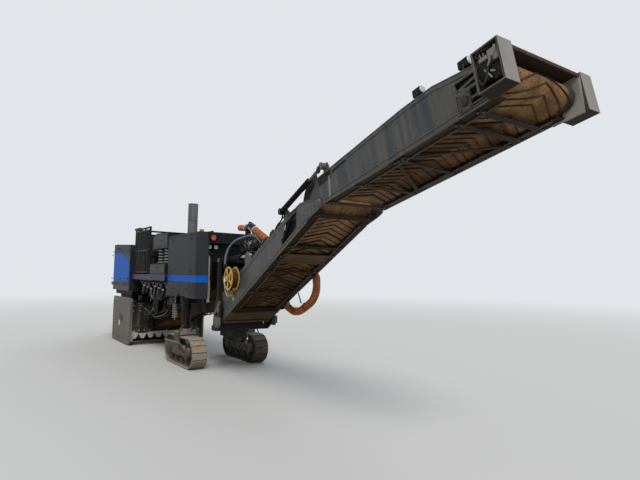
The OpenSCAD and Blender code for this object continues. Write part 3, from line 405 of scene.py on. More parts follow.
def polished(name, colour, rough=0.16, metallic=1.0, smear=0.3):
    """Chromed or machined metal with faint smears."""
    finish, tree, shader = new_finish(name, metallic=metallic)
    place = add_node(tree, "ShaderNodeTexCoord").outputs["Object"]
    smears = band(tree, noise(tree, place, 9.0, 4.0, 0.7), 0.35, 0.75, 0.0, smear)
    dull = tuple(c * 0.55 for c in colour[:3]) + (1.0,)
    tree.links.new(blend_colours(tree, smears, colour, dull), shader.inputs["Base Color"])
    tree.links.new(band(tree, smears, 0.0, max(smear, 0.01), rough, rough + 0.22),
                   shader.inputs["Roughness"])
    grain = use_group(tree, FINE_GRAIN, Scale=220.0, Depth=1.0)
    bump(tree, shader, grain["Height"], 0.0004, 0.25)
    return finish


def lens_finish(name, colour):
    """A lamp's moulded lens, ribbed, with painted shade in the rib grooves and light dust."""
    finish, tree, shader = new_finish(name, coat=0.6)
    place = add_node(tree, "ShaderNodeTexCoord").outputs["Object"]
    ribs = add_node(tree, "ShaderNodeTexWave", wave_type="BANDS", bands_direction="Z")
    ribs.inputs["Scale"].default_value = 60.0
    tree.links.new(place, ribs.inputs["Vector"])
    # the rib bands run from a darker copy of the colour to the colour itself: painted shade in the grooves
    deep = tuple(c * 0.55 for c in colour[:3]) + (1.0,)
    base = blend_colours(tree, ribs.outputs["Fac"], deep, colour)
    dusty = use_group(tree, ROAD_DUST, Paint=base, Dust=DRY_DUST, Amount=0.25, Ledges=0.4, Low_reach=0.5)
    tree.links.new(dusty["Color"], shader.inputs["Base Color"])
    shader.inputs["Roughness"].default_value = 0.28
    bump(tree, shader, ribs.outputs["Fac"], 0.001, 0.5)
    return finish


BROWN_DUST = srgb(112, 92, 70)
PAINT = painted("charcoal_paint", srgb(28, 32, 35), dust=0.09, ledges=0.3, streaks=0.09)
HOOD_PAINT = painted("hood_paint", srgb(32, 39, 42), dust=0.05, ledges=0.3, streaks=0.05, wear=0.35,
                     gloss=0.5, shade=0.07)
COLUMN_PAINT = painted("column_paint", srgb(17, 16, 14), dust=0.07, ledges=0.3, streaks=0.12, shine=0.08)
# dark brown paint, made darker still as painted shade for the conveyor under the machine
PRIMARY_PAINT = painted("primary_conveyor_paint_and_shade", srgb(28, 20, 15), dust=0.08, ledges=0.25, reach=0.8,
                        streaks=0.10, dust_colour=srgb(96, 72, 54), shine=0.05)
SADDLE_PAINT = painted("saddle_paint", srgb(92, 88, 82), dust=0.6, ledges=0.8, reach=1.5, streaks=0.4,
                       dust_colour=srgb(150, 142, 130))
GREY_PAINT = painted("worn_grey_paint", srgb(78, 78, 77), dust=0.34, ledges=0.55, streaks=0.4)
BOARD_PAINT = painted("board_paint", srgb(62, 65, 68), dust=0.16, ledges=0.35, reach=0.9,
                      streaks=0.42, lean=0.25)
HEAD_GREY = painted("head_guard_paint", srgb(58, 58, 58), dust=0.2, ledges=0.5, streaks=0.35)
PALE_GUARD = painted("pale_guard_paint", srgb(128, 127, 124), dust=0.14, ledges=0.5, streaks=0.35,
                     dust_colour=srgb(124, 98, 80))
RIM_PAINT = painted("rubbed_rim", srgb(78, 76, 73), dust=0.14, ledges=0.6, streaks=0.3, wear=1.0)
# dark paint, made darker still as painted shade for the frame, legs and drum box under the hood
LOW_PAINT = painted("undercarriage_paint_and_shade", srgb(22, 21, 19), dust=0.13, ledges=0.35, reach=1.0, streaks=0.12,
                    shine=0.08)
APRON_PAINT = painted("apron_paint", srgb(23, 25, 26), dust=0.10, ledges=0.6, reach=0.7,
                      streaks=0.42, wear=0.7)
BLUE_PAINT = painted("stripe_blue", srgb(0, 84, 176), dust=0.0, ledges=0.2, streaks=0.0, wear=0.25,
                     gloss=0.5, shade=0.02, shine=0.10)
NAVY = painted("navy_strip", srgb(14, 32, 66), dust=0.08, ledges=0.3, streaks=0.12)
YELLOW = painted("reel_yellow", srgb(204, 160, 34), dust=0.12, ledges=0.4, streaks=0.15, wear=0.8)
# a darker copy of the hood paint for the visor's front: painted shade on the face turned away from the light
VISOR = painted("visor_paint_shaded", srgb(15, 21, 26), dust=0.02, ledges=0.25, streaks=0.03, wear=0.25, gloss=0.45,
                shade=0.05, shine=0.12)
BLACK = painted("black_paint", srgb(14, 14, 15), dust=0.05, ledges=0.25, streaks=0.05, wear=0.4, shine=0.12)
CYLINDER_BLACK = painted("cylinder_black", srgb(9, 9, 10), dust=0.0, ledges=0.08, streaks=0.0,
                         wear=0.2, shine=0.05)
PLATE_PAINT = painted("side_plate_paint", srgb(66, 65, 63), dust=0.55, ledges=0.5, reach=1.2, streaks=0.55,
                      wear=1.0, shade=0.45, dust_colour=srgb(138, 128, 116))
# paler than the guard paint as painted light: the plate stands in the boards' shade
INNER_PLATE = painted("head_plate_painted_light", srgb(150, 148, 143), dust=0.3, ledges=0.7, streaks=0.35,
                      dust_colour=srgb(142, 98, 78))
CAST = raw_steel("dusty_casting", srgb(48, 44, 40), dust=0.6, reach=1.3, metallic=0.1, rust=0.25)
# pale dust thick on up-facing faces: real dust, made paler still as painted light on the top run
TRACK_STEEL = raw_steel("crawler_steel_dust_and_painted_light", srgb(96, 88, 78), dust=0.8, reach=1.3, ledges=0.9, rust=0.3,
                        dust_colour=srgb(178, 167, 150))
PAD_RUBBER = raw_steel("crawler_pad", srgb(112, 104, 94), dust=0.85, reach=1.3, metallic=0.0, rust=0.1,
                       rough=0.8, dust_colour=srgb(158, 146, 130), bright=srgb(84, 78, 70))
# darker, less dusty copies of the crawler finishes for the far crawlers: painted shade
TRACK_SHADED = raw_steel("crawler_steel_painted_shade", srgb(46, 42, 37), dust=0.35, reach=1.0, ledges=0.4, rust=0.3,
                         dust_colour=srgb(98, 90, 78))
PAD_SHADED = raw_steel("crawler_pad_painted_shade", srgb(60, 56, 50), dust=0.5, reach=1.0, metallic=0.0, rust=0.1,
                       rough=0.8, dust_colour=srgb(104, 96, 84), bright=srgb(60, 56, 50))
TOOL_STEEL = raw_steel("cutting_steel", srgb(84, 76, 68), dust=0.5, rust=0.6, reach=1.1)
# steel rubbed bright, made paler still as painted light for teeth that stand in shade
TOOTH_STEEL = raw_steel("rubbed_tooth_steel_and_painted_light", srgb(182, 181, 178), dust=0.2, rust=0.12, reach=0.9,
                        metallic=0.2, rough=0.5)
RUSTY = raw_steel("rusty_plate", srgb(62, 48, 38), dust=0.2, rust=0.5, metallic=0.1)
# dark brown of caked fines on undersides and inner faces, made darker still as painted shade
DARK_UNDER = painted("conveyor_underside_dirt_and_shade", srgb(30, 21, 14), dust=0.12, ledges=0.4, reach=1.0, streaks=0.12,
                     dust_colour=BROWN_DUST, shine=0.04)
PAN_PAINT = painted("dusty_pan", srgb(98, 78, 56), dust=0.4, ledges=0.5, reach=1.6, streaks=0.4,
                    dust_colour=srgb(124, 104, 80), shine=0.05)
BELT = dusty_belt("belt_brown", srgb(82, 54, 31), srgb(122, 87, 53))
HEAD_BELT = dusty_belt("belt_tan", srgb(112, 80, 50), srgb(146, 112, 76))
CLEAT = rubbery("belt_cleats", srgb(42, 30, 21), dust=0.15, dust_colour=BROWN_DUST)
LAGGING = rubbery("drum_lagging", srgb(36, 30, 25), dust=0.4, dust_colour=BROWN_DUST)
CHROME = polished("rod_chrome_bright", srgb(196, 196, 200), rough=0.22, smear=0.5)
DULL_ROD = polished("dusty_rod", srgb(110, 106, 100), rough=0.45, metallic=0.7, smear=0.7)
BRIGHT = polished("hose_fittings", srgb(176, 176, 172), rough=0.3)
EXHAUST_STEEL = polished("exhaust_steel", srgb(104, 104, 106), rough=0.42, metallic=0.7, smear=0.6)
HOSE = rubbery("hose_black", srgb(20, 20, 21), dust=0.3)
GREY_HOSE = rubbery("hose_grey", srgb(92, 97, 102), dust=0.25)
BEIGE_HOSE = rubbery("hose_beige", srgb(166, 154, 136), dust=0.25)
DUCT = rubbery("duct_orange", srgb(160, 92, 50), dust=0.2, dust_colour=srgb(130, 104, 80))
RED_HOSE = rubbery("hose_dark_red", srgb(60, 34, 27), dust=0.2)
RUBBER = rubbery("rubber_black", srgb(24, 24, 24), dust=0.35)
GRILLE = painted("grille_black", srgb(24, 25, 26), dust=0.3, ledges=0.6, streaks=0.1)
LAMP_RED = lens_finish("lamp_red_orange", srgb(206, 74, 34))
LAMP_CLEAR = lens_finish("lamp_clear", srgb(205, 208, 210))
SPRING_GREY = painted("spring_grey", srgb(136, 132, 126), dust=0.2, ledges=0.5, streaks=0.2)
REFLECTOR = painted("white_reflector", srgb(206, 206, 202), dust=0.1, ledges=0.3, streaks=0.1, wear=0.2)
SEAT = rubbery("seat_vinyl", srgb(30, 31, 33), dust=0.2, rough=0.5, grain_scale=420.0)


# Bench tools: every piece is made at its place in its own part's measure, then set on the machine

def clear_bench():
    if bpy.context.mode != "OBJECT":
        bpy.ops.object.mode_set(mode="OBJECT")
    bpy.ops.object.select_all(action="DESELECT")


def pick(*pieces):
    clear_bench()
    for piece in pieces:
        piece.select_set(True)
    bpy.context.view_layer.objects.active = pieces[0]
    return pieces[0]


def apply_last(piece):
    pick(piece)
    bpy.ops.object.modifier_apply(modifier=piece.modifiers[-1].name)
    return piece


def soften(piece, width):
    """Breaks the sharp edges with a small bevel."""
    made = piece.modifiers.new("soft_edges", "BEVEL")
    made.width = width
    made.segments = 1
    made.limit_method = "ANGLE"
    made.angle_limit = math.radians(35)
    return apply_last(piece)


def smooth(piece, angle=35):
    pick(piece)
    bpy.ops.object.shade_smooth_by_angle(angle=math.radians(angle))
    return piece


def block(low, high, edge=0.004):
    """A plate or box between two corners, its edges broken."""
    clear_bench()
    centre = [(a + b) / 2 for a, b in zip(low, high)]
    bpy.ops.mesh.primitive_cube_add(size=1, location=centre)
    piece = bpy.context.object
    piece.scale = [abs(b - a) for a, b in zip(low, high)]
    bpy.ops.object.transform_apply(location=True, rotation=True, scale=True)
    if edge:
        soften(piece, edge)
    return piece


def bar(start, end, radius, sides=16, edge=0.0):
    """A round bar between two points."""
    clear_bench()
    start, end = Vector(start), Vector(end)
    bpy.ops.mesh.primitive_cylinder_add(vertices=sides, radius=radius, depth=(end - start).length,
                                        location=(start + end) / 2)
    piece = bpy.context.object
    piece.rotation_mode = "QUATERNION"
    piece.rotation_quaternion = (end - start).to_track_quat("Z", "Y")
    bpy.ops.object.transform_apply(location=True, rotation=True, scale=True)
    if edge:
        soften(piece, edge)
    return smooth(piece)


def curve_piece(points, radius=0.0, closed=False, soft=False, rounds=3, flat=False, thick=0.0, edge=0.0):
    """A line through points, as a tube, or as a flat plate of that outline."""
    clear_bench()
    line = bpy.data.curves.new("line", "CURVE")
    line.dimensions = "2D" if flat else "3D"
    if soft:
        spline = line.splines.new("BEZIER")
        spline.bezier_points.add(len(points) - 1)
        for knot, point in zip(spline.bezier_points, points):
            knot.co = point
            knot.handle_left_type = knot.handle_right_type = "AUTO"
        line.resolution_u = 8
    else:
        spline = line.splines.new("POLY")
        spline.points.add(len(points) - 1)
        for knot, point in zip(spline.points, points):
            knot.co = (*point, 1) if len(point) == 3 else (*point, 0, 1)
    spline.use_cyclic_u = closed
    if flat:
        line.fill_mode = "BOTH"
        line.extrude = max(thick / 2 - edge, 0.0)
        line.bevel_depth = edge
        line.bevel_resolution = 0
    elif radius:
        line.bevel_depth = radius
        line.bevel_resolution = rounds
        line.use_fill_caps = not closed
    piece = bpy.data.objects.new("line", line)
    bpy.context.scene.collection.objects.link(piece)
    pick(piece)
    bpy.ops.object.convert(target="MESH")
    return bpy.context.object


def rounded(points, radius, steps=4):
    """The same path with each inner corner turned on an arc."""
    points = [Vector(p) for p in points]
    path = [points[0]]
    for before, corner, after in zip(points, points[1:], points[2:]):
        back, ahead = (before - corner).normalized(), (after - corner).normalized()
        reach = min(radius, (before - corner).length * 0.48, (after - corner).length * 0.48)
        start, end = corner + back * reach, corner + ahead * reach
        for i in range(steps + 1):
            t = i / steps
            path.append(start * (1 - t) ** 2 + corner * 2 * t * (1 - t) + end * t ** 2)
    path.append(points[-1])
    return path


def pipe(points, radius, corner=0.05, rounds=3):
    """A bent steel tube."""
    return smooth(curve_piece(rounded(points, corner), radius, rounds=rounds), 60)


def hose(points, radius):
    """A rubber hose in easy curves through its points."""
    return smooth(curve_piece(points, radius, soft=True), 60)


def plate(outline, thick, edge=0.002):
    """A flat plate lying in XY, centred on z 0."""
    return curve_piece(outline, closed=True, flat=True, thick=thick, edge=edge)


def side_plate(outline, y, thick, edge=0.002):
    """A plate that stands in XZ at y, its outline given as (x, z)."""
    piece = plate(outline, thick, edge)
    piece.matrix_world = Matrix.Translation((0, y, 0)) @ Matrix.Rotation(math.radians(90), 4, "X")
    pick(piece)
    bpy.ops.object.transform_apply(location=True, rotation=True, scale=True)
    return piece


def turned(profile, place=(0, 0, 0), along=UP, steps=24, angle=30):
    """A lathe piece: profile is (radius, height) up its axis."""
    piece = curve_piece([(r, 0, h) for r, h in profile])
    made = piece.modifiers.new("lathe", "SCREW")
    made.axis = "Z"
    made.steps = steps
    made.render_steps = steps
    made.use_merge_vertices = True
    made.merge_threshold = 0.0002
    apply_last(piece)
    bpy.ops.object.mode_set(mode="EDIT")
    bpy.ops.mesh.select_all(action="SELECT")
    bpy.ops.mesh.remove_doubles(threshold=0.0002)
    bpy.ops.mesh.normals_make_consistent(inside=False)
    bpy.ops.object.mode_set(mode="OBJECT")
    piece.rotation_mode = "QUATERNION"
    piece.rotation_quaternion = Vector(along).to_track_quat("Z", "Y")
    piece.location = place
    bpy.ops.object.transform_apply(location=True, rotation=True, scale=True)
    return smooth(piece, angle)


def copies(piece, places):
    """Copies of a finished piece, each with its own mesh, at each place matrix."""
    made = []
    for place in places:
        copy = piece.copy()
        copy.data = piece.data.copy()
        copy.data.transform(place)
        bpy.context.scene.collection.objects.link(copy)
        made.append(copy)
    return made


def shifted(piece, places):
    """As copies, moved by each offset, with the first piece taken away."""
    made = copies(piece, [Matrix.Translation(p) for p in places])
    bpy.data.objects.remove(piece)
    return made


def join(pieces):
    pieces = list(pieces)
    pick(*pieces)
    if len(pieces) > 1:
        bpy.ops.object.join()
    return bpy.context.object


def both_sides(piece):
    """The piece and its mirror image across y 0."""
    other = copies(piece, [Matrix.Diagonal((1, -1, 1, 1))])[0]
    pick(other)
    bpy.ops.object.mode_set(mode="EDIT")
    bpy.ops.mesh.select_all(action="SELECT")
    bpy.ops.mesh.flip_normals()
    bpy.ops.object.mode_set(mode="OBJECT")
    return join([piece, other])


def set_in(name, pieces, place, body, finish, replaces=()):
    """Joins loose pieces into one named piece, sets it on the machine and gives it its finish."""
    piece = join(pieces if isinstance(pieces, (list, tuple)) else [pieces])
    piece.name = name
    piece.data.name = name
    piece.data.transform(place)
    piece.data.materials.clear()
    piece.data.materials.append(finish)
    for face in piece.data.polygons:
        face.material_index = 0
    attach(piece, body)
    if replaces:
        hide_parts(*replaces)
    return piece


def mirrored_in(name, pieces, place, body, finish):
    """As set_in, with the mirror image of the pieces across y 0."""
    return set_in(name, [both_sides(join(pieces))], place, body, finish)


BOLT_PROFILE = [(0, 0), (1.0, 0), (1.0, 0.55), (0.86, 0.7), (0, 0.7)]


def bolts(places, along, radius=0.012):
    """Six-sided bolt heads on their seats, pointing along one direction."""
    head = turned([(r * radius, h * radius) for r, h in BOLT_PROFILE], (0, 0, 0), along, steps=6, angle=20)
    return join(shifted(head, places))


def ring(count, radius, centre, along, start=0.0):
    """Offsets round a circle that stands square to one direction."""
    along = Vector(along).normalized()
    first = along.orthogonal().normalized()
    second = along.cross(first)
    for i in range(count):
        angle = start + 2 * math.pi * i / count
        yield Vector(centre) + radius * (first * math.cos(angle) + second * math.sin(angle))


def edge_band(points, y, depth, thick, edge=0.0):
    """A strip that follows an edge line given as (x, z), hanging down from it by its depth."""
    lower = [(x, z - depth) for x, z in reversed(points)]
    return side_plate(list(points) + lower, y, thick, edge)


def cap_ring(radius, height, place, along, steps=24):
    """A round cover with a stepped rim."""
    return turned([(radius, -0.004), (radius, height * 0.5), (radius * 0.86, height * 0.75),
                   (radius * 0.52, height * 0.78), (radius * 0.48, height), (0, height)],
                  place, along, steps)


def coil(turns, radius, wire, place, along, pitch, steps=14):
    """A helix of round wire."""
    points = []
    for i in range(turns * steps + 1):
        angle = 2 * math.pi * i / steps
        points.append((radius * math.cos(angle), radius * math.sin(angle), pitch * i / steps))
    piece = curve_piece(points, wire, rounds=2)
    piece.matrix_world = Matrix.Translation(place) @ Vector(along).to_track_quat("Z",
                                                                                 "Y").to_matrix().to_4x4()
    pick(piece)
    bpy.ops.object.transform_apply(location=True, rotation=True, scale=True)
    return smooth(piece, 60)


def fittings(places, along, radius=0.016):
    """Crimped hose ends with their nuts."""
    end = turned([(radius * 0.8, 0), (radius * 0.8, radius * 2), (radius * 1.25, radius * 2),
                  (radius * 1.25, radius * 3.2), (radius * 0.9, radius * 3.3), (radius * 0.9, radius * 5),
                  (0, radius * 5)], (0, 0, 0), along, steps=6)
    return join(shifted(end, places))


# Crawlers: chain, shoes and pads round each loop, drive and idler hubs

def loop_places(count, radius, half):
    """Places of the shoes round the loop: x forward, z up from the ground, turned with the run."""
    straight, arc = 2 * half, math.pi * radius
    around = 2 * straight + 2 * arc
    mid = CRAWLER_HEIGHT / 2
    for i in range(count):
        run = (i + 0.5) * around / count
        if run < straight:
            turn, x = 0.0, -half + run
        elif run < straight + arc:
            turn, x = (run - straight) / radius, half
        elif run < 2 * straight + arc:
            turn, x = math.pi, half - (run - straight - arc)
        else:
            turn, x = math.pi + (run - 2 * straight - arc) / radius, -half
        yield Matrix.Translation((x, 0, mid)) @ Matrix.Rotation(-turn, 4, "Y")


def make_crawler(corner):
    """Chain links, shoes and pads of one crawler, in place of its CAD node."""
    x, y = CRAWLERS[corner]
    here = MACHINE @ Matrix.Translation((x, y, 0))
    outer = CRAWLER_HEIGHT / 2
    shoe_radius = outer - PAD_HEIGHT
    half = CRAWLER_LENGTH / 2 - outer
    pitch = (4 * half + 2 * math.pi * shoe_radius) / SHOE_COUNT
    wide = SHOE_WIDTH / 2
    body = "track_" + corner

    pad = block((-pitch * 0.43, -wide + 0.004, -outer), (pitch * 0.43, wide - 0.004, -shoe_radius + 0.002),
                0.005)
    shoe = block((-pitch * 0.485, -wide, -shoe_radius), (pitch * 0.485, wide, -shoe_radius + 0.011), 0.002)
    links = []
    for side in (-1, 1):
        link = side_plate([(-pitch * 0.60, -0.222), (-pitch * 0.50, -0.214), (pitch * 0.30, -0.214),
                           (pitch * 0.44, -0.222), (pitch * 0.44, -0.240), (pitch * 0.30, -0.249),
                           (-pitch * 0.46, -0.249), (-pitch * 0.60, -0.238)], side * 0.048, 0.016, 0.0)
        pin = bar((-pitch * 0.5, side * 0.052, -0.230), (-pitch * 0.5, side * 0.068, -0.230), 0.011, 8)
        links += [link, pin]
    places = list(loop_places(SHOE_COUNT, shoe_radius, half))
    pads = copies(pad, places)
    steel = copies(shoe, places)
    for link in links:
        steel += copies(link, places)
    for piece in [pad, shoe] + links:
        bpy.data.objects.remove(piece)
    # all crawlers but the near right one take the darker copies as painted shade
    lit_crawler = corner == "front_right"
    set_in("crawler_shoes_" + corner, steel, here, body, TRACK_STEEL if lit_crawler else TRACK_SHADED,
           ["crawler_" + corner])
    set_in("crawler_pads_" + corner, pads, here, body, PAD_RUBBER if lit_crawler else PAD_SHADED)


def make_carriage(corner):
    """Hubs, outer rollers, saddle bolts, guard bar and tensioner of one crawler."""
    x, y = CRAWLERS[corner]
    here = MACHINE @ Matrix.Translation((x, y, 0))
    body = "track_" + corner
    half = (CRAWLER_LENGTH - CRAWLER_HEIGHT) / 2
    mid = CRAWLER_HEIGHT / 2
    roller = [(0.056, 0), (0.066, 0.003), (0.066, 0.015), (0.048, 0.020), (0.048, 0.050), (0.030, 0.056),
              (0.028, 0.068), (0, 0.070)]
    wheels, heads, rods, guards = [], [], [], []
    for side in (-1, 1):
        out = (0, side, 0)
        for end in (-1, 1):
            wheels.append(cap_ring(0.101, 0.030, (end * half, side * 0.150, mid), out, 28))
            heads.append(bolts(ring(10, 0.078, (end * half, side * 0.167, mid), out), out, 0.008))
        for i in range(4):
            wheels.append(turned(roller, (-half + 0.06 + i * (2 * half - 0.12) / 3, side * 0.062, ROLLER_Z),
                                 out, 20))
        heads.append(bolts([(i * 0.07, side * 0.179, k) for i in (-1, 1) for k in (0.52, 0.60)], out, 0.011))
        heads.append(bolts([(i * 0.12 - 0.36, side * 0.150, 0.318) for i in (0, 1, 5, 6)], out, 0.009))
        wheels.append(bar((0.17, side * 0.156, 0.262), (0.30, side * 0.156, 0.262), 0.022, 14, 0.003))
        rods.append(bar((0.29, side * 0.156, 0.262), (0.36, side * 0.156, 0.262), 0.012, 12))
        guards.append(side_plate([(-0.62, 0.408), (-0.60, 0.436), (0.20, 0.452), (0.50, 0.372),
                                  (0.50, 0.346), (0.19, 0.424)], side * 0.187, 0.010, 0.002))
        for reach in (-0.52, 0.40):
            guards.append(block((reach - 0.02, side * 0.151, 0.33), (reach + 0.02, side * 0.183, 0.42),
                                0.003))
        for reach in (-1, 1):
            guards.append(side_plate([(reach * 0.04, 0.622), (reach * 0.105, 0.622), (reach * 0.04, 0.70)],
                                     side * 0.07, 0.014, 0.001))
    heads.append(bolts(ring(10, 0.092, (0, 0, 0.678), UP, 0.3), UP, 0.009))
    heads.append(bolts([(i * 0.095, k * 0.14, 0.620) for i in (-1, 1) for k in (-1, 1)], UP, 0.013))
    feed = [hose([(0.085, side * 0.06, 0.76), (0.12, side * 0.13, 0.70), (0.16, side * 0.20, 0.60),
                  (0.26, side * 0.207, 0.47), (0.38, side * 0.200, 0.36), (0.43, side * 0.186, 0.29)], 0.011)
            for side in (-1, 1)]
    set_in("carriage_hubs_" + corner, wheels, here, body, CAST)
    set_in("carriage_bolts_" + corner, heads, here, body, TRACK_STEEL)
    set_in("carriage_guards_" + corner, guards, here, body, SADDLE_PAINT)
    set_in("tensioner_rods_" + corner, rods, here, body, CHROME)
    set_in("drive_hoses_" + corner, feed, here, body, HOSE)


# Front conveyor: u runs up the section, v across it, w off its underside

BOARD_V = 0.445
BOARD_INSIDE = 0.432
BELT_FACES = (0.0395, 0.2705)
LOWER_TOP = [(0.02, 0.452), (2.739, 0.345)]
LOWER_NOSE = [(2.739, 0.345), (3.121, 0.312), (3.304, 0.234), (3.455, 0.130)]
UPPER_TOP = [(0.30, 0.368), (0.488, 0.378), (1.508, 0.428), (1.908, 0.428), (2.465, 0.331)]
LOWER_BARS = [(0.53, 0.53), (0.64, 1.18), (1.20, 1.20), (1.826, 1.24), (1.88, 1.88), (2.23, 2.23),
              (2.35, 2.35), (2.597, 2.597), (3.347, 3.347)]
UPPER_BARS = [(0.16, 0.16), (0.70, 0.70), (1.31, 0.76), (1.355, 1.29), (1.41, 1.96),
              (2.06, 2.06), (2.28, 2.28)]
HEAD_U = 2.500
HEAD_W = 0.155
GUARD_U = (2.4403, 2.6703)


def edge_trim(name, top, thin, low_end, place, body):
    """Folded bands and rubbed rims along both boards of one section."""
    rims = [edge_band(top, -BOARD_V - 0.003, 0.009, 0.010), edge_band([(0.10, 0.012), (low_end, 0.012)],
                                                                      -0.4505, 0.012, 0.012),
            edge_band([(0.10, 0.060), (low_end - 0.05, 0.060)], -0.4475, 0.010, 0.006),
            edge_band([(0.10, -0.001), (low_end, -0.001)], -0.3400, 0.014, 0.006)]
    bands = [edge_band([(x, z - 0.012) for x, z in top], -0.4475, 0.034, 0.006)]
    if thin:
        bands.append(edge_band(thin, -0.4462, 0.030, 0.003))
    mirrored_in(name + "_rims", rims, place, body, RIM_PAINT)
    mirrored_in(name + "_bands", bands, place, body, BOARD_PAINT)


def truss_bolts(name, bars, place, body):
    """Bolt heads and small gussets where the bars meet the flanges."""
    heads, gussets = [], []
    for near, far in bars:
        for u, side in ((near, -1), (far, 1)):
            heads.append((u - 0.012, side * 0.412, -0.012))
            heads.append((u + 0.012, side * 0.372, -0.012))
            lean = 0.06 if near == far else 0.09
            gusset = plate([(u - lean, side * 0.432), (u + lean, side * 0.432), (u + 0.03, side * 0.335),
                            (u - 0.03, side * 0.335)], 0.004, 0.0)
            gussets += shifted(gusset, [(0, 0, -0.0022)])
    set_in(name + "_truss_bolts", [bolts(heads, DOWN, 0.010)], place, body, TRACK_STEEL)
    set_in(name + "_gussets", gussets, place, body, DARK_UNDER)


def board_bolts(name, row, place, body):
    """Bolt heads along the outer faces of both boards, given as (u, w)."""
    heads = bolts([(u, -BOARD_V, w) for u, w in row], RIGHT, 0.009)
    set_in(name + "_board_bolts", [both_sides(heads)], place, body, RIM_PAINT)


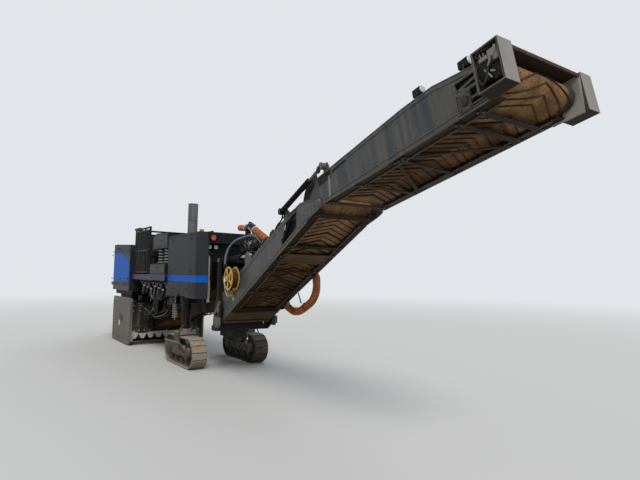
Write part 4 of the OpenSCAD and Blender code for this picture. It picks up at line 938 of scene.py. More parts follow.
def make_lower_section():
    """Trim, tail pan, fold pocket, hinge caps, pipes and hoses of the lower section."""
    body = "lower_conveyor"
    edge_trim("lower", LOWER_TOP, LOWER_NOSE, 3.20, LOWER, body)
    truss_bolts("lower", LOWER_BARS, LOWER, body)
    row = [(0.30 + 0.24 * i, 0.085) for i in range(9)] + [(0.38 + 0.48 * i, 0.36 - 0.0135 * i)
                                                          for i in range(5)]
    board_bolts("lower", row, LOWER, body)

    # tail pan with its lip, cross tube and dark tube under the belt
    pan = [block((0.01, -0.432, -0.012), (0.415, 0.432, -0.0045), 0.002),
           block((0.405, -0.432, -0.030), (0.417, 0.432, -0.004), 0.002),
           block((0.005, -0.432, -0.022), (0.013, 0.432, 0.060), 0.002)]
    set_in("tail_pan", pan, LOWER, body, PAN_PAINT)
    tubes = [block((0.44, -0.40, -0.034), (0.50, 0.40, -0.012), 0.004),
             bar((2.565, -0.428, 0.016), (2.565, 0.428, 0.016), 0.021, 16)]
    set_in("lower_cross_tubes", tubes, LOWER, body, DARK_UNDER)
    wide = [block((2.182, -0.332, -0.016), (2.398, 0.332, -0.0122), 0.001),
            block((2.176, -0.39, -0.026), (2.186, 0.39, -0.010), 0.001),
            block((2.394, -0.39, -0.026), (2.404, 0.39, -0.010), 0.001)]
    set_in("lower_wide_bar", wide, LOWER, body, PAN_PAINT)

    # pocket in front of the fold hinge: black back plate as painted shade, raised border, cylinder and its
    # hoses
    back = side_plate([(2.46, 0.06), (2.65, 0.305), (3.03, 0.292), (3.07, 0.15), (2.97, 0.06)], -0.417,
                      0.005)
    shield = side_plate([(2.90, 0.075), (2.985, 0.290), (3.05, 0.150), (2.96, 0.072)], -0.4275, 0.006, 0.001)
    border = side_plate([(2.64, 0.302), (2.66, 0.330), (3.02, 0.318), (3.125, 0.296), (3.30, 0.218),
                         (3.425, 0.125), (3.19, 0.140), (3.075, 0.150), (3.020, 0.298)], -0.4462, 0.003, 0.0)
    set_in("fold_pocket_shade_plates", [both_sides(back)], LOWER, body, BLACK)
    mirrored_in("fold_pocket_shields", [shield, border], LOWER, body, GREY_PAINT)
    jack = [bar((2.55, -0.4480, 0.105), (2.86, -0.4480, 0.235), 0.022, 18, 0.003),
            bar((2.56, -0.4275, 0.155), (2.80, -0.4275, 0.262), 0.008, 10),
            cap_ring(0.034, 0.010, (2.55, -0.460, 0.105), RIGHT, 16)]
    mirrored_in("fold_pocket_jacks", jack, LOWER, body, CYLINDER_BLACK)

    # hinge pins and their bolts
    pins = cap_ring(0.040, 0.012, (FOLD_U, -0.466, FOLD_W), RIGHT, 24)
    ring_bolts = bolts(ring(6, 0.026, (FOLD_U, -0.475, FOLD_W), RIGHT), RIGHT, 0.006)
    plate_bolts = bolts([(3.235, -0.466, 0.03), (3.235, -0.466, 0.085), (3.33, -0.466, 0.020),
                         (3.33, -0.466, 0.09), (3.42, -0.466, 0.010), (3.42, -0.466, 0.095)], RIGHT, 0.009)
    mirrored_in("fold_hinge_caps", [pins, ring_bolts, plate_bolts], LOWER, body, TRACK_STEEL)
    bosses = [cap_ring(0.068, 0.010, (0.09, -0.446, 0.18), RIGHT, 28),
              bolts(ring(6, 0.053, (0.09, -0.4525, 0.18), RIGHT), RIGHT, 0.006)]
    mirrored_in("lift_boss_rings", bosses, LOWER, body, BLACK)

    # pipes and hoses clamped along the top edges up to the fold cylinders
    lines = [pipe([(0.42, -0.425, 0.470), (1.10, -0.425, 0.432), (2.10, -0.425, 0.392),
                   (2.20, -0.425, 0.400)], 0.011, 0.06),
             pipe([(0.42, -0.398, 0.462), (1.10, -0.398, 0.430), (2.10, -0.398, 0.388),
                   (2.20, -0.398, 0.398)], 0.011, 0.06)]
    mirrored_in("lower_service_pipes", lines, LOWER, body, GREY_HOSE)
    clips = [block((u - 0.02, -0.440, 0.452 - 0.0394 * u - 0.004),
                   (u + 0.02, -0.384, 0.452 - 0.0394 * u + 0.036), 0.003) for u in (0.60, 1.05, 1.50, 1.95)]
    block_body = [block((2.19, -0.437, 0.362), (2.31, -0.375, 0.425), 0.004),
                  block((2.21, -0.43, 0.425), (2.24, -0.39, 0.447), 0.003),
                  block((2.26, -0.43, 0.425), (2.29, -0.39, 0.447), 0.003)]
    mirrored_in("service_clips", clips + block_body, LOWER, body, BLACK)
    ends = fittings([(2.31, -0.42, 0.40), (2.31, -0.395, 0.40), (2.31, -0.42, 0.378), (2.31, -0.395, 0.378)],
                    FORWARD, 0.009)
    set_in("service_fittings", [both_sides(ends)], LOWER, body, BRIGHT)
    loops = [hose([(2.35, -0.420, 0.400), (2.46, -0.425, 0.418), (2.57, -0.435, 0.402),
                   (2.66, -0.450, 0.415), (2.70, -0.470, 0.432)], 0.010),
             hose([(2.35, -0.395, 0.400), (2.47, -0.392, 0.446), (2.62, -0.395, 0.452),
                   (2.78, -0.400, 0.398), (2.88, -0.405, 0.352)], 0.010),
             hose([(2.35, -0.420, 0.378), (2.48, -0.415, 0.392), (2.66, -0.412, 0.380),
                   (2.82, -0.415, 0.360), (2.95, -0.420, 0.345)], 0.009),
             hose([(2.35, -0.395, 0.378), (2.50, -0.380, 0.410), (2.70, -0.372, 0.420),
                   (2.90, -0.380, 0.385), (3.02, -0.395, 0.330)], 0.009)]
    mirrored_in("fold_hoses", loops, LOWER, body, HOSE)


def make_upper_section():
    """Trim, fold links, belt tensioner, motor boxes, head and lamps of the upper section."""
    body = "upper_conveyor"
    edge_trim("upper", UPPER_TOP, [], 2.42, UPPER, body)
    truss_bolts("upper", UPPER_BARS, UPPER, body)
    board_bolts("upper", [(0.35 + 0.25 * i, 0.085) for i in range(8)] + [(0.60 + 0.40 * i, 0.335)
                                                                         for i in range(4)], UPPER, body)

    # lifting link, its pocket and the ear's collar at the fold
    link = [side_plate([(0.232, 0.285), (0.262, 0.285), (0.236, 0.030), (0.206, 0.030)], -0.4475, 0.005,
                       0.001), bolts([(0.245, -0.450, 0.27), (0.222, -0.450, 0.05)], RIGHT, 0.010)]
    mirrored_in("fold_link_plates", link, UPPER, body, PALE_GUARD)
    slot = [side_plate([(0.30, 0.285), (0.33, 0.325), (0.60, 0.345), (0.60, 0.318), (0.34, 0.290)], -0.4462,
                       0.0025, 0.0), edge_band([(0.02, 0.335), (0.28, 0.352)], -0.4462, 0.10, 0.0025)]
    mirrored_in("fold_board_slots", slot, UPPER, body, BLACK)
    ear = [cap_ring(0.044, 0.010, (0.140, -0.5125, 0.388), RIGHT, 20)]
    mirrored_in("fold_ear_caps", ear, UPPER, body, BLACK)

    # belt tensioner in its windows: screw, nuts, boss ring, the borders of the openings, and black plates
    # behind them as painted shade
    boss = [cap_ring(0.043, 0.016, (2.208, -0.471, 0.110), RIGHT, 28),
            bolts([(2.208 + i * 0.047, -0.459, 0.110 + k * 0.060) for i in (-1, 1) for k in (-1, 1)], RIGHT,
                  0.010), block((2.262, -0.452, 0.088), (2.285, -0.434, 0.132), 0.003)]
    mirrored_in("tensioner_bosses", boss, UPPER, body, CAST)
    screw = [bar((2.27, -0.443, 0.110), (2.43, -0.443, 0.110), 0.011, 12),
             turned([(0.020, 0), (0.020, 0.018), (0.011, 0.018)], (2.37, -0.443, 0.110), FORWARD, 6)]
    mirrored_in("tensioner_screws", screw, UPPER, body, DULL_ROD)
    borders = [edge_band([(2.13, 0.312), (2.435, 0.312)], -0.4480, 0.010, 0.008),
               edge_band([(2.13, 0.213), (2.435, 0.213)], -0.4480, 0.024, 0.008),
               edge_band([(2.13, 0.035), (2.435, 0.035)], -0.4480, 0.010, 0.008),
               edge_band([(2.118, 0.318), (2.13, 0.318)], -0.4480, 0.290, 0.008),
               side_plate([(2.15, 0.225), (2.42, 0.268), (2.42, 0.286), (2.15, 0.243)], -0.4400, 0.006,
                          0.001), bolts([(2.16 + 0.06 * i, -0.452, 0.201) for i in range(5)], RIGHT, 0.007)]
    mirrored_in("tensioner_borders", borders, UPPER, body, GREY_PAINT)
    # black plates behind the windows: painted shade inside the boards
    shadow = [side_plate([(2.08, 0.02), (2.47, 0.02), (2.47, 0.318), (2.08, 0.350)], -0.4180, 0.004)]
    mirrored_in("tensioner_window_shade_plates", shadow, UPPER, body, BLACK)

    # side guards at the head: front plate, rim, motor with its ports, valve block, fittings and hoses
    low, high = GUARD_U
    front = block((high, -0.604, -0.010), (high + 0.006, -0.446, 0.334), 0.002)
    lips = [block((low, -0.607, 0.320), (high, -0.603, 0.332), 0.001),
            block((low, -0.607, -0.010), (high, -0.603, 0.004), 0.001),
            block((low - 0.002, -0.607, -0.010), (low + 0.012, -0.603, 0.332), 0.001)]
    set_in("guard_fronts", [both_sides(front)], UPPER, body, PALE_GUARD)
    mirrored_in("guard_lips", lips, UPPER, body, RIM_PAINT)
    motor = [cap_ring(0.064, 0.022, (HEAD_U, -0.566, HEAD_W), RIGHT, 28),
             bolts(ring(8, 0.066, (HEAD_U, -0.567, HEAD_W), RIGHT), RIGHT, 0.006),
             block((2.575, -0.585, 0.045), (2.645, -0.50, 0.160), 0.005)]
    mirrored_in("head_motors", motor, UPPER, body, BLACK)
    boxes = [block((2.560, -0.592, 0.180), (2.648, -0.515, 0.285), 0.006),
             block((2.480, -0.588, 0.226), (2.556, -0.530, 0.262), 0.005),
             side_plate([(2.55, 0.165), (2.57, 0.155), (2.65, 0.278), (2.63, 0.290)], -0.596, 0.006, 0.001)]
    mirrored_in("head_valve_boxes", boxes, UPPER, body, PALE_GUARD)
    shiny = [fittings([(2.50, -0.575, 0.262), (2.528, -0.570, 0.262)], (-0.2, 0, 1), 0.008),
             fittings([(2.60, -0.585, 0.10)], (-1, -0.2, 0.6), 0.008),
             bar((2.572, -0.595, 0.06), (2.522, -0.595, 0.150), 0.006, 12)]
    mirrored_in("head_fittings", shiny, UPPER, body, SPRING_GREY)
    feeds = [hose([(2.49, -0.583, 0.26), (2.47, -0.588, 0.298), (2.50, -0.588, 0.312), (2.55, -0.585, 0.305),
                   (2.59, -0.565, 0.31)], 0.010),
             hose([(2.55, -0.595, 0.15), (2.53, -0.597, 0.09), (2.49, -0.594, 0.05), (2.46, -0.585, 0.09),
                   (2.455, -0.57, 0.14)], 0.010), hose([(2.56, -0.592, 0.155), (2.59, -0.596, 0.18),
                                                        (2.60, -0.592, 0.22)], 0.009)]
    mirrored_in("head_hoses", feeds, UPPER, body, HOSE)

    # pale plate inside the left board, made paler still as painted light, worn lagging on the drum's left
    # end, brackets over the cross plate
    inner = side_plate([(2.371, -0.020), (2.640, -0.020), (2.660, 0.300), (2.620, 0.362), (2.371, 0.362)],
                       0.4280, 0.006, 0.001)
    outer = side_plate([(2.4755, -0.020), (2.640, -0.020), (2.668, 0.300), (2.4755, 0.355)],
                       0.4395, 0.010, 0.001)
    set_in("head_inner_plate", [inner, outer, bolts([(2.62, 0.434, 0.02), (2.645, 0.434, 0.27)], RIGHT,
                                                    0.009)], UPPER, body, INNER_PLATE)
    lag = turned([(0.1165, 0), (0.1180, 0.004), (0.1180, 0.086), (0.1165, 0.090)],
                 (HEAD_U, 0.312, HEAD_W), (0, 1, 0), 48)
    set_in("drum_lagging_ring", [lag], UPPER, body, LAGGING)
    cross = [block((2.47, -0.42, 0.313), (2.49, 0.42, 0.322), 0.002),
             block((2.65, -0.44, 0.286), (2.668, 0.44, 0.313), 0.002)]
    cross += [block((2.50, v - 0.006, 0.312), (2.64, v + 0.006, 0.328), 0.002) for v in (-0.25, 0.0, 0.25)]
    set_in("head_cross_ribs", cross, UPPER, body, RUSTY)

    # work lamps on brackets over the top edges
    for label, u, w in (("head", 2.235, 0.378), ("middle", 1.71, 0.430)):
        shell = [block((u - 0.055, -0.432, w + 0.030), (u + 0.055, -0.372, w + 0.108), 0.010),
                 block((u - 0.012, -0.440, w - 0.02), (u + 0.012, -0.430, w + 0.050), 0.002)]
        face = turned([(0.036, 0), (0.036, 0.006), (0.030, 0.010), (0, 0.012)],
                      (u + 0.054, -0.402, w + 0.069), FORWARD, 20)
        mirrored_in("work_lamp_" + label, shell, UPPER, body, BLACK)
        set_in("work_lamp_glass_" + label, [both_sides(face)], UPPER, body, LAMP_CLEAR)


def ribbed_duct(name, points, radius, rib_pitch, place, body, finish, replaces=()):
    """Flexible duct: a thin tube with a rib every few centimetres along its route."""
    core = hose(points, radius * 0.90)
    route = curve_piece(points, soft=True)
    line = [vertex.co.copy() for vertex in route.data.vertices]
    bpy.data.objects.remove(route)
    rib = turned([(radius * 0.88, -0.007), (radius, -0.004), (radius, 0.004), (radius * 0.88, 0.007)],
                 steps=20)
    places, run = [], rib_pitch / 2
    for start, end in zip(line, line[1:]):
        step = end - start
        while run < step.length:
            turn = step.to_track_quat("Z", "Y").to_matrix().to_4x4()
            places.append(Matrix.Translation(start + step.normalized() * run) @ turn)
            run += rib_pitch
        run -= step.length
    ribs = copies(rib, places)
    bpy.data.objects.remove(rib)
    set_in(name, [core] + ribs, place, body, finish, replaces)


def make_ducts():
    """The suction duct beside the lower section, and the ducts over its tail."""
    body = "lower_conveyor"
    y = 0.527
    side = [(1.620, 0.470, 0.120), (1.622, y, 0.110), (1.640, y, -0.060), (1.500, y, -0.220),
            (1.180, y, -0.260), (0.820, y, -0.190), (0.600, y, 0.000), (0.560, y, 0.040),
            (0.556, 0.470, 0.046)]
    ribbed_duct("suction_duct_ribbed", side, 0.062, 0.022, LOWER, body, DUCT, ["suction_duct"])
    collars = []
    for u, w in ((1.620, 0.120), (0.560, 0.040)):
        collars.append(turned([(0.058, 0), (0.074, 0.002), (0.074, 0.010), (0.066, 0.012), (0.066, 0.040),
                               (0.060, 0.042)], (u, 0.4455, w), (0, 1, 0), 28))
    collars += [bar((1.18, 0.446, -0.02), (1.18, 0.452, -0.20), 0.010, 10),
                bar((0.82, 0.446, 0.02), (0.82, 0.452, -0.14), 0.010, 10)]
    collars += [turned([(0.060, -0.010), (0.067, -0.008), (0.067, 0.008), (0.060, 0.010)], (u, y, w),
                       (1, 0, lean), 24) for u, w, lean in ((1.18, -0.256, -0.1), (0.84, -0.190, -0.6))]
    set_in("duct_collars", collars, LOWER, body, BLACK)

    # duct over the tail of the conveyor, in two orange lengths with a dark elbow
    ribbed_duct("top_duct_rear", [(1.500, -0.300, 2.512), (1.62, -0.300, 2.502), (1.80, -0.300, 2.488)],
                0.052, 0.020, MACHINE, body, DUCT)
    ribbed_duct("top_duct_front", [(2.000, -0.300, 2.450), (2.12, -0.300, 2.398), (2.28, -0.305, 2.328),
                                   (2.44, -0.310, 2.258)], 0.056, 0.022, MACHINE, body, DUCT)
    elbow = [pipe([(1.79, -0.300, 2.489), (1.87, -0.300, 2.520), (1.94, -0.300, 2.505),
                   (2.01, -0.300, 2.446)], 0.055, 0.05, 5), bar((1.86, -0.30, 2.50), (1.86, -0.30, 2.585),
                                                                0.030, 18, 0.003),
             bar((1.80, -0.30, 2.487), (1.83, -0.30, 2.500), 0.061, 24)]
    set_in("duct_elbow", elbow, MACHINE, body, BLACK)
    feet = [pipe([(2.42, -0.31, 2.26), (2.50, -0.33, 2.20), (2.52, -0.36, 2.05)], 0.050, 0.06, 4)]
    set_in("duct_feet", feet, MACHINE, body, BLACK)


def make_reel():
    """Rims, spokes, hub and wound hose of the reel, and its brackets on the board."""
    u, w, side = 0.855, 0.400, RIGHT
    rims, near, far = [], -0.459, -0.574
    for y in (near, far):
        rims.append(turned([(0.158, 0), (0.160, 0.008), (0.182, 0.010), (0.190, 0.006), (0.190, 0.001),
                            (0.182, -0.002), (0.160, -0.001), (0.158, 0)], (u, y, w), side, 40))
        rims.append(turned([(0.030, 0), (0.066, 0), (0.066, 0.010), (0.030, 0.010)], (u, y, w), side, 24))
        for i in range(5):
            angle = 2 * math.pi * i / 5 + 0.3
            c, s = math.cos(angle), math.sin(angle)
            spoke = side_plate([(u + c * 0.058 - s * 0.017, w + s * 0.058 + c * 0.017),
                                (u + c * 0.164 - s * 0.026, w + s * 0.164 + c * 0.026),
                                (u + c * 0.164 + s * 0.026, w + s * 0.164 - c * 0.026),
                                (u + c * 0.058 + s * 0.017, w + s * 0.058 - c * 0.017)],
                               y - 0.005, 0.007, 0.001)
            rims.append(spoke)
    rims.append(turned([(0.098, 0), (0.098, 0.115)], (u, near, w), side, 28))
    set_in("reel_rims", rims, LOWER, "reel", YELLOW, ["hose_reel"])
    wound = []
    for layer in range(3):
        for i in range(5):
            radius = 0.110 + layer * 0.017
            y = near - 0.018 - i * 0.0195
            wound.append(turned([(radius - 0.009, 0), (radius - 0.004, 0.008), (radius + 0.005, 0.008),
                                 (radius + 0.009, 0), (radius + 0.005, -0.008), (radius - 0.004, -0.008),
                                 (radius - 0.009, 0)], (u, y, w), side, 32))
    set_in("reel_hose", wound, LOWER, "reel", RED_HOSE)
    hub = [cap_ring(0.046, 0.018, (u, -0.600, w), side, 24),
           pipe([(u, -0.605, w), (u, -0.640, w), (u, -0.640, w - 0.06)], 0.012, 0.02)]
    set_in("reel_swivel", hub, LOWER, "lower_conveyor", BRIGHT)
    guide = [pipe([(u - 0.16, -0.470, w - 0.235), (u - 0.225, -0.520, w - 0.16),
                   (u - 0.225, -0.520, w + 0.10)], 0.010, 0.05),
             pipe([(u - 0.16, -0.560, w - 0.235), (u - 0.225, -0.560, w - 0.16),
                   (u - 0.225, -0.560, w + 0.10)], 0.010, 0.05),
             block((u - 0.235, -0.572, w + 0.075), (u - 0.215, -0.505, w + 0.10), 0.003),
             bar((u - 0.16, -0.45, w - 0.235), (u - 0.16, -0.57, w - 0.235), 0.012, 12)]
    set_in("reel_guide", guide, LOWER, "lower_conveyor", BRIGHT)
    bracket = [side_plate([(u - 0.30, 0.30), (u - 0.23, 0.34), (u - 0.19, 0.14), (u - 0.24, 0.10)], -0.4485,
                          0.006, 0.001), block((u - 0.28, -0.520, 0.20), (u - 0.272, -0.448, 0.30), 0.002)]
    set_in("reel_bracket", bracket, LOWER, "lower_conveyor", YELLOW)


def belt_place(run, height, turn_u):
    """A point on the belt's outer face, as (u, w): along the underside, then round the drum at turn_u."""
    drum_r = 0.115
    if run <= turn_u:
        return run, 0.040 - height
    angle = (run - turn_u) / drum_r
    if angle < math.pi:
        return turn_u + (drum_r + height) * math.sin(angle), 0.155 - (drum_r + height) * math.cos(angle)
    return turn_u - (run - turn_u - math.pi * drum_r), 0.155 + drum_r + height


def make_cleats(name, starts, turn_u, place, body):
    """Low chevrons between the tall ones, bent round the drum where they reach it."""
    half, point, width, steps = 0.355, 0.180, 0.010, 8
    edge = [(point * (1 - abs(v) / half), v) for v in (half * (i / steps - 1) for i in range(2 * steps + 1))]
    outline = edge + [(u + width, v) for u, v in reversed(edge)]
    chevron = plate(outline, 0.010, 0.0)
    made = shifted(chevron, [(start, 0, 0.005) for start in starts])
    for piece in made:
        for vertex in piece.data.vertices:
            u, w = belt_place(vertex.co.x, vertex.co.z, turn_u)
            vertex.co = (u, vertex.co.y, w)
    set_in(name, made, place, body, CLEAT)


def make_heel_shields():
    """Plates inside the boards that close the gap behind the fold pins, at each section's end."""
    low, high = 0.275, 0.428
    arc = [math.radians(95 + 5 * i) for i in range(15)]
    outline = [(high * math.cos(a), FOLD_W + high * math.sin(a)) for a in arc]
    outline += [(low * math.cos(a), FOLD_W + low * math.sin(a)) for a in reversed(arc)]
    set_in("fold_heel_shields", [both_sides(side_plate(outline, -0.4245, 0.005))], UPPER, "upper_conveyor",
           BLACK)
    turns = [math.radians(56 + 8 * i) for i in range(16)]
    nose = [(FOLD_U + 0.269 * math.cos(a), FOLD_W + 0.269 * math.sin(a)) for a in turns]
    nose += [(FOLD_U - 0.07, FOLD_W), (FOLD_U - 0.02, FOLD_W + 0.05), (FOLD_U + 0.03, FOLD_W + 0.05)]
    set_in("fold_nose_discs", [both_sides(side_plate(nose, -0.4245, 0.005))], LOWER, "lower_conveyor",
           BOARD_PAINT)


# Body: hood, recess, platform and engine bay

def panel(low_x, high_x, low_z, high_z, y, proud=0.006):
    """A cover that stands a little proud of a side wall."""
    return block((low_x, -y - proud, low_z), (high_x, -y + 0.002, high_z), 0.003)


def louvres(low_x, high_x, low_z, count, pitch, y):
    """Rows of slats on a side wall."""
    return [side_plate([(low_x, low_z + i * pitch), (high_x, low_z + i * pitch),
                        (high_x, low_z + i * pitch + 0.016), (low_x, low_z + i * pitch + 0.016)], -y - 0.004,
                       0.010, 0.002) for i in range(count)]


def make_hood():
    """Covers, louvres, lamps and exhaust of the front hood, and the lines in its recess."""
    body = "chassis"
    covers = [panel(-0.785, 0.675, 1.700, 2.425, HOOD_SIDE), panel(-0.785, -0.10, 1.345, 1.552, HOOD_SIDE),
              panel(-0.085, 0.675, 1.295, 1.552, HOOD_SIDE)]
    mirrored_in("hood_covers", covers, MACHINE, body, HOOD_PAINT)
    ribs = [block((0.36 + i * 0.052, -0.7515, 1.33), (0.372 + i * 0.052, -0.746, 1.53),
                  0.001) for i in range(6)]
    ribs += [side_plate([(-0.76 + i * 0.045, 1.72), (-0.745 + i * 0.045, 1.72), (-0.665 + i * 0.045, 1.82),
                         (-0.68 + i * 0.045, 1.82)], -0.749, 0.004, 0.001) for i in range(6)]
    mirrored_in("hood_louvres", ribs, MACHINE, body, PAINT)
    dark = [block((-0.62, -0.752, 1.282), (-0.16, -0.740, 1.325), 0.004),
            block((-0.80, -0.748, 1.556), (0.69, -0.7445, 1.562), 0.001)]
    dark += [block((x - 0.035, -0.756, z - 0.02), (x + 0.035, -0.745, z + 0.02), 0.004) for x,
             z in ((-0.55, 1.765), (0.42, 1.765), (-0.55, 2.36), (0.42, 2.36), (-0.45, 1.43), (0.25, 1.43))]
    mirrored_in("hood_latches", dark, MACHINE, body, BLACK)
    trim = [block((0.786, -0.545, 2.278), (0.796, 0.545, 2.300), 0.003),
            block((0.775, -0.548, 2.448), (0.792, 0.548, 2.462), 0.003)]
    trim += [both_sides(block((-0.80, -0.752, 2.432), (0.69, -0.738, 2.450), 0.003))]
    set_in("visor_trim", trim, MACHINE, body, BLACK)
    bezels = [turned([(0.050, 0.0), (0.058, 0.004), (0.058, 0.036), (0.050, 0.044), (0.046, 0.044),
                      (0.046, 0.0)], (0.786, -0.48, 2.37), FORWARD, 28)]
    bezels += [block((0.60, y - 0.05, 2.165), (0.70, y + 0.05, 2.255), 0.010) for y in (-0.50, -0.375)]
    bezels += [block((0.64, y - 0.012, 2.25), (0.66, y + 0.012, 2.292), 0.002) for y in (-0.50, -0.375)]
    mirrored_in("front_lamp_housings", bezels, MACHINE, body, BLACK)
    glass = [turned([(0.038, 0), (0.038, 0.004), (0.030, 0.008), (0, 0.010)], (0.700, y, 2.210), FORWARD, 20)
             for y in (-0.50, -0.375)]
    mirrored_in("front_lamp_glass", glass, MACHINE, body, LAMP_CLEAR)

    # pipes and hoses that run down the recess beside the conveyor's mouth
    # they stand on a circle round the slewing axis, just outside the sweep of the yoke's towers
    runs = []
    for turn, radius, sway in ((52.5, 0.011, 0.5), (49.5, 0.010, -0.6), (46.5, 0.011, 0.6),
                               (43.5, 0.009, -0.4)):
        route = []
        for z, lean in ((2.10, 0.0), (1.90, sway), (1.62, -sway), (1.36, sway), (1.20, 0.0)):
            angle = math.radians(turn + lean)
            route.append((SLEW_AXIS_X - 0.607 * math.cos(angle), -0.607 * math.sin(angle), z))
        runs.append(hose(route, radius))
    mirrored_in("recess_hoses", runs, MACHINE, body, BEIGE_HOSE)
    dark_runs = [hose([(0.572, y, 2.15), (0.574, y + 0.006, 1.80), (0.570, y - 0.006, 1.40),
                       (0.572, y, 1.22)], 0.012) for y in (-0.500, -0.462, -0.432)]
    mirrored_in("recess_dark_hoses", dark_runs, MACHINE, body, HOSE)
    clamps = [block((0.556, -0.541, z), (0.618, -0.482, z + 0.028), 0.003) for z in (1.30, 1.72)]
    clamps += [block((0.556, -0.482, z), (0.572, -0.418, z + 0.028), 0.003) for z in (1.30, 1.72)]
    clamps += [block((0.556, -0.540, 2.06), (0.66, -0.380, 2.145), 0.006),
               block((0.556, -0.541, 1.19), (0.612, -0.452, 1.245), 0.006)]
    mirrored_in("recess_clamps", clamps, MACHINE, body, BLACK)

    rim = [turned([(0.088, 0), (0.103, 0), (0.105, 0.010), (0.098, 0.018), (0.088, 0.018)],
                  (*EXHAUST, 3.162), UP, 32), turned([(0.101, 0), (0.128, 0), (0.128, 0.010), (0.112, 0.030),
                                                      (0.101, 0.032)], (*EXHAUST, 2.479), UP, 32),
           turned([(0.1005, 0), (0.104, 0.002), (0.104, 0.022), (0.1005, 0.024)], (*EXHAUST, 2.82), UP, 32)]
    set_in("exhaust_rims", rim, MACHINE, body, EXHAUST_STEEL)
    beacon = [turned([(0.043, 0), (0.054, 0), (0.054, 0.014), (0.043, 0.018)],
                     (0.455, -0.56, 2.479), UP, 24)]
    set_in("beacon_base", beacon, MACHINE, body, BLACK)


def make_cushion(low, high, upright):
    """A crowned seat pad, its sides drawn in between its corners, with a seam and two sewn channels."""
    pad = block(low, high, 0)
    pick(pad)
    bpy.ops.object.mode_set(mode="EDIT")
    bpy.ops.mesh.select_all(action="SELECT")
    bpy.ops.mesh.subdivide(number_cuts=15)
    bpy.ops.object.mode_set(mode="OBJECT")
    centre = (Vector(low) + Vector(high)) / 2
    size = (Vector(high) - Vector(low)) / 2
    rise, face = (0, 2) if upright else (2, 0)
    for vertex in pad.data.vertices:
        part = [(vertex.co[i] - centre[i]) / size[i] for i in range(3)]
        swell = (1 - part[1] ** 2) * (1 - part[face] ** 2)
        channel = 0.006 * sum(math.exp(-((part[face] - at) / 0.07) ** 2) for at in (-0.34, 0.34))
        vertex.co[rise] += part[rise] * (0.016 * swell - channel * (abs(part[1]) < 0.9))
        for axis, other in ((1, face), (face, 1)):
            pull = 0.006 * (1 - part[other] ** 2) * abs(part[axis]) ** 6
            seam = 0.004 * math.exp(-((part[rise] - 0.55) / 0.12) ** 2) * abs(part[axis]) ** 8
            vertex.co[axis] -= math.copysign(pull + seam, part[axis])
    soft = pad.modifiers.new("soft", "SUBSURF")
    soft.levels = soft.render_levels = 1
    apply_last(pad)
    return smooth(pad, 70)


def make_platform():
    """Wind screens, rings, desk covers and controls, and the seats."""
    body = "chassis"
    screens = []
    for i in range(8):
        x = -3.12 + 0.135 * i
        screens += [block((x, -0.778, 1.72), (x + 0.028, -0.736, 2.700), 0.005),
                    block((x + 0.040, -0.770, 1.76), (x + 0.052, -0.740, 2.66), 0.003)]
    screens += [block((-3.14, -0.782, z), (-2.10, -0.736, z + 0.030), 0.005) for z in (1.72, 2.22, 2.68)]
    mirrored_in("folded_screens", screens, MACHINE, body, BLACK)
    caps = [block((-3.225, -0.790, 2.755), (-2.84, -0.700, 2.800), 0.008)]
    caps += [cap_ring(0.036, 0.020, (x, -0.75, 1.686), UP, 16) for x in (-3.18, -2.80, -2.42, -2.04)]
    mirrored_in("railing_caps", caps, MACHINE, body, BLACK)
    rings = []
    for x in (-1.41, -1.02):
        for i in range(5):
            rings.append(turned([(0.066, -0.013), (0.073, -0.010), (0.076, 0.0), (0.073, 0.010),
                                 (0.066, 0.013)], (x, -0.67, 1.948 + i * 0.062), UP, 24))
    mirrored_in("column_rings", rings, MACHINE, body, SPRING_GREY)
    covers = [block((-1.78, -0.746, 2.30), (-0.90, -0.738, 2.52), 0.004),
              block((-1.40, -0.762, 2.40), (-1.26, -0.744, 2.425), 0.004),
              block((-1.84, -0.786, 1.72), (-1.38, -0.779, 1.89), 0.004),
              block((-1.34, -0.786, 1.72), (-0.90, -0.779, 1.89), 0.004)]
    mirrored_in("console_covers", covers, MACHINE, body, PAINT)
    knobs = [turned([(0.034, 0), (0.034, 0.012), (0.012, 0.030), (0.010, 0.110), (0.020, 0.122),
                     (0.022, 0.140), (0.014, 0.152), (0, 0.155)], (-1.70, y, 1.914), UP, 20)
             for y in (-0.50, -0.62)]
    knobs += [cap_ring(0.022, 0.014, (-1.82 + 0.06 * i, -0.72, 1.915), UP, 16) for i in range(4)]
    knobs += [block((-1.655, -0.70, 1.914), (-1.575, -0.46, 1.972), 0.006)]
    mirrored_in("console_controls", knobs, MACHINE, body, RUBBER)
    for side, label in ((1, "right"), (-1, "left")):
        ends = (-0.715, -0.315) if side > 0 else (0.315, 0.715)
        seat = make_cushion((-2.468, ends[0], 2.100), (-2.032, ends[1], 2.232), False)
        back = make_cushion((-2.546, ends[0], 2.228), (-2.424, ends[1], 2.632), True)
        for kind, pad in (("seat_pad_", seat), ("seat_back_", back)):
            set_in(kind + label, [pad], MACHINE, body, SEAT)
    shells = [block((-2.562, -0.70, 2.16), (-2.544, -0.33, 2.60), 0.006),
              block((-2.44, -0.69, 2.075), (-2.06, -0.34, 2.102), 0.006),
              turned([(0.062, 0), (0.105, 0), (0.105, 0.012), (0.062, 0.030)],
                     (-2.25, -0.515, 1.686), UP, 24)]
    mirrored_in("seat_shells", shells, MACHINE, body, BLACK)


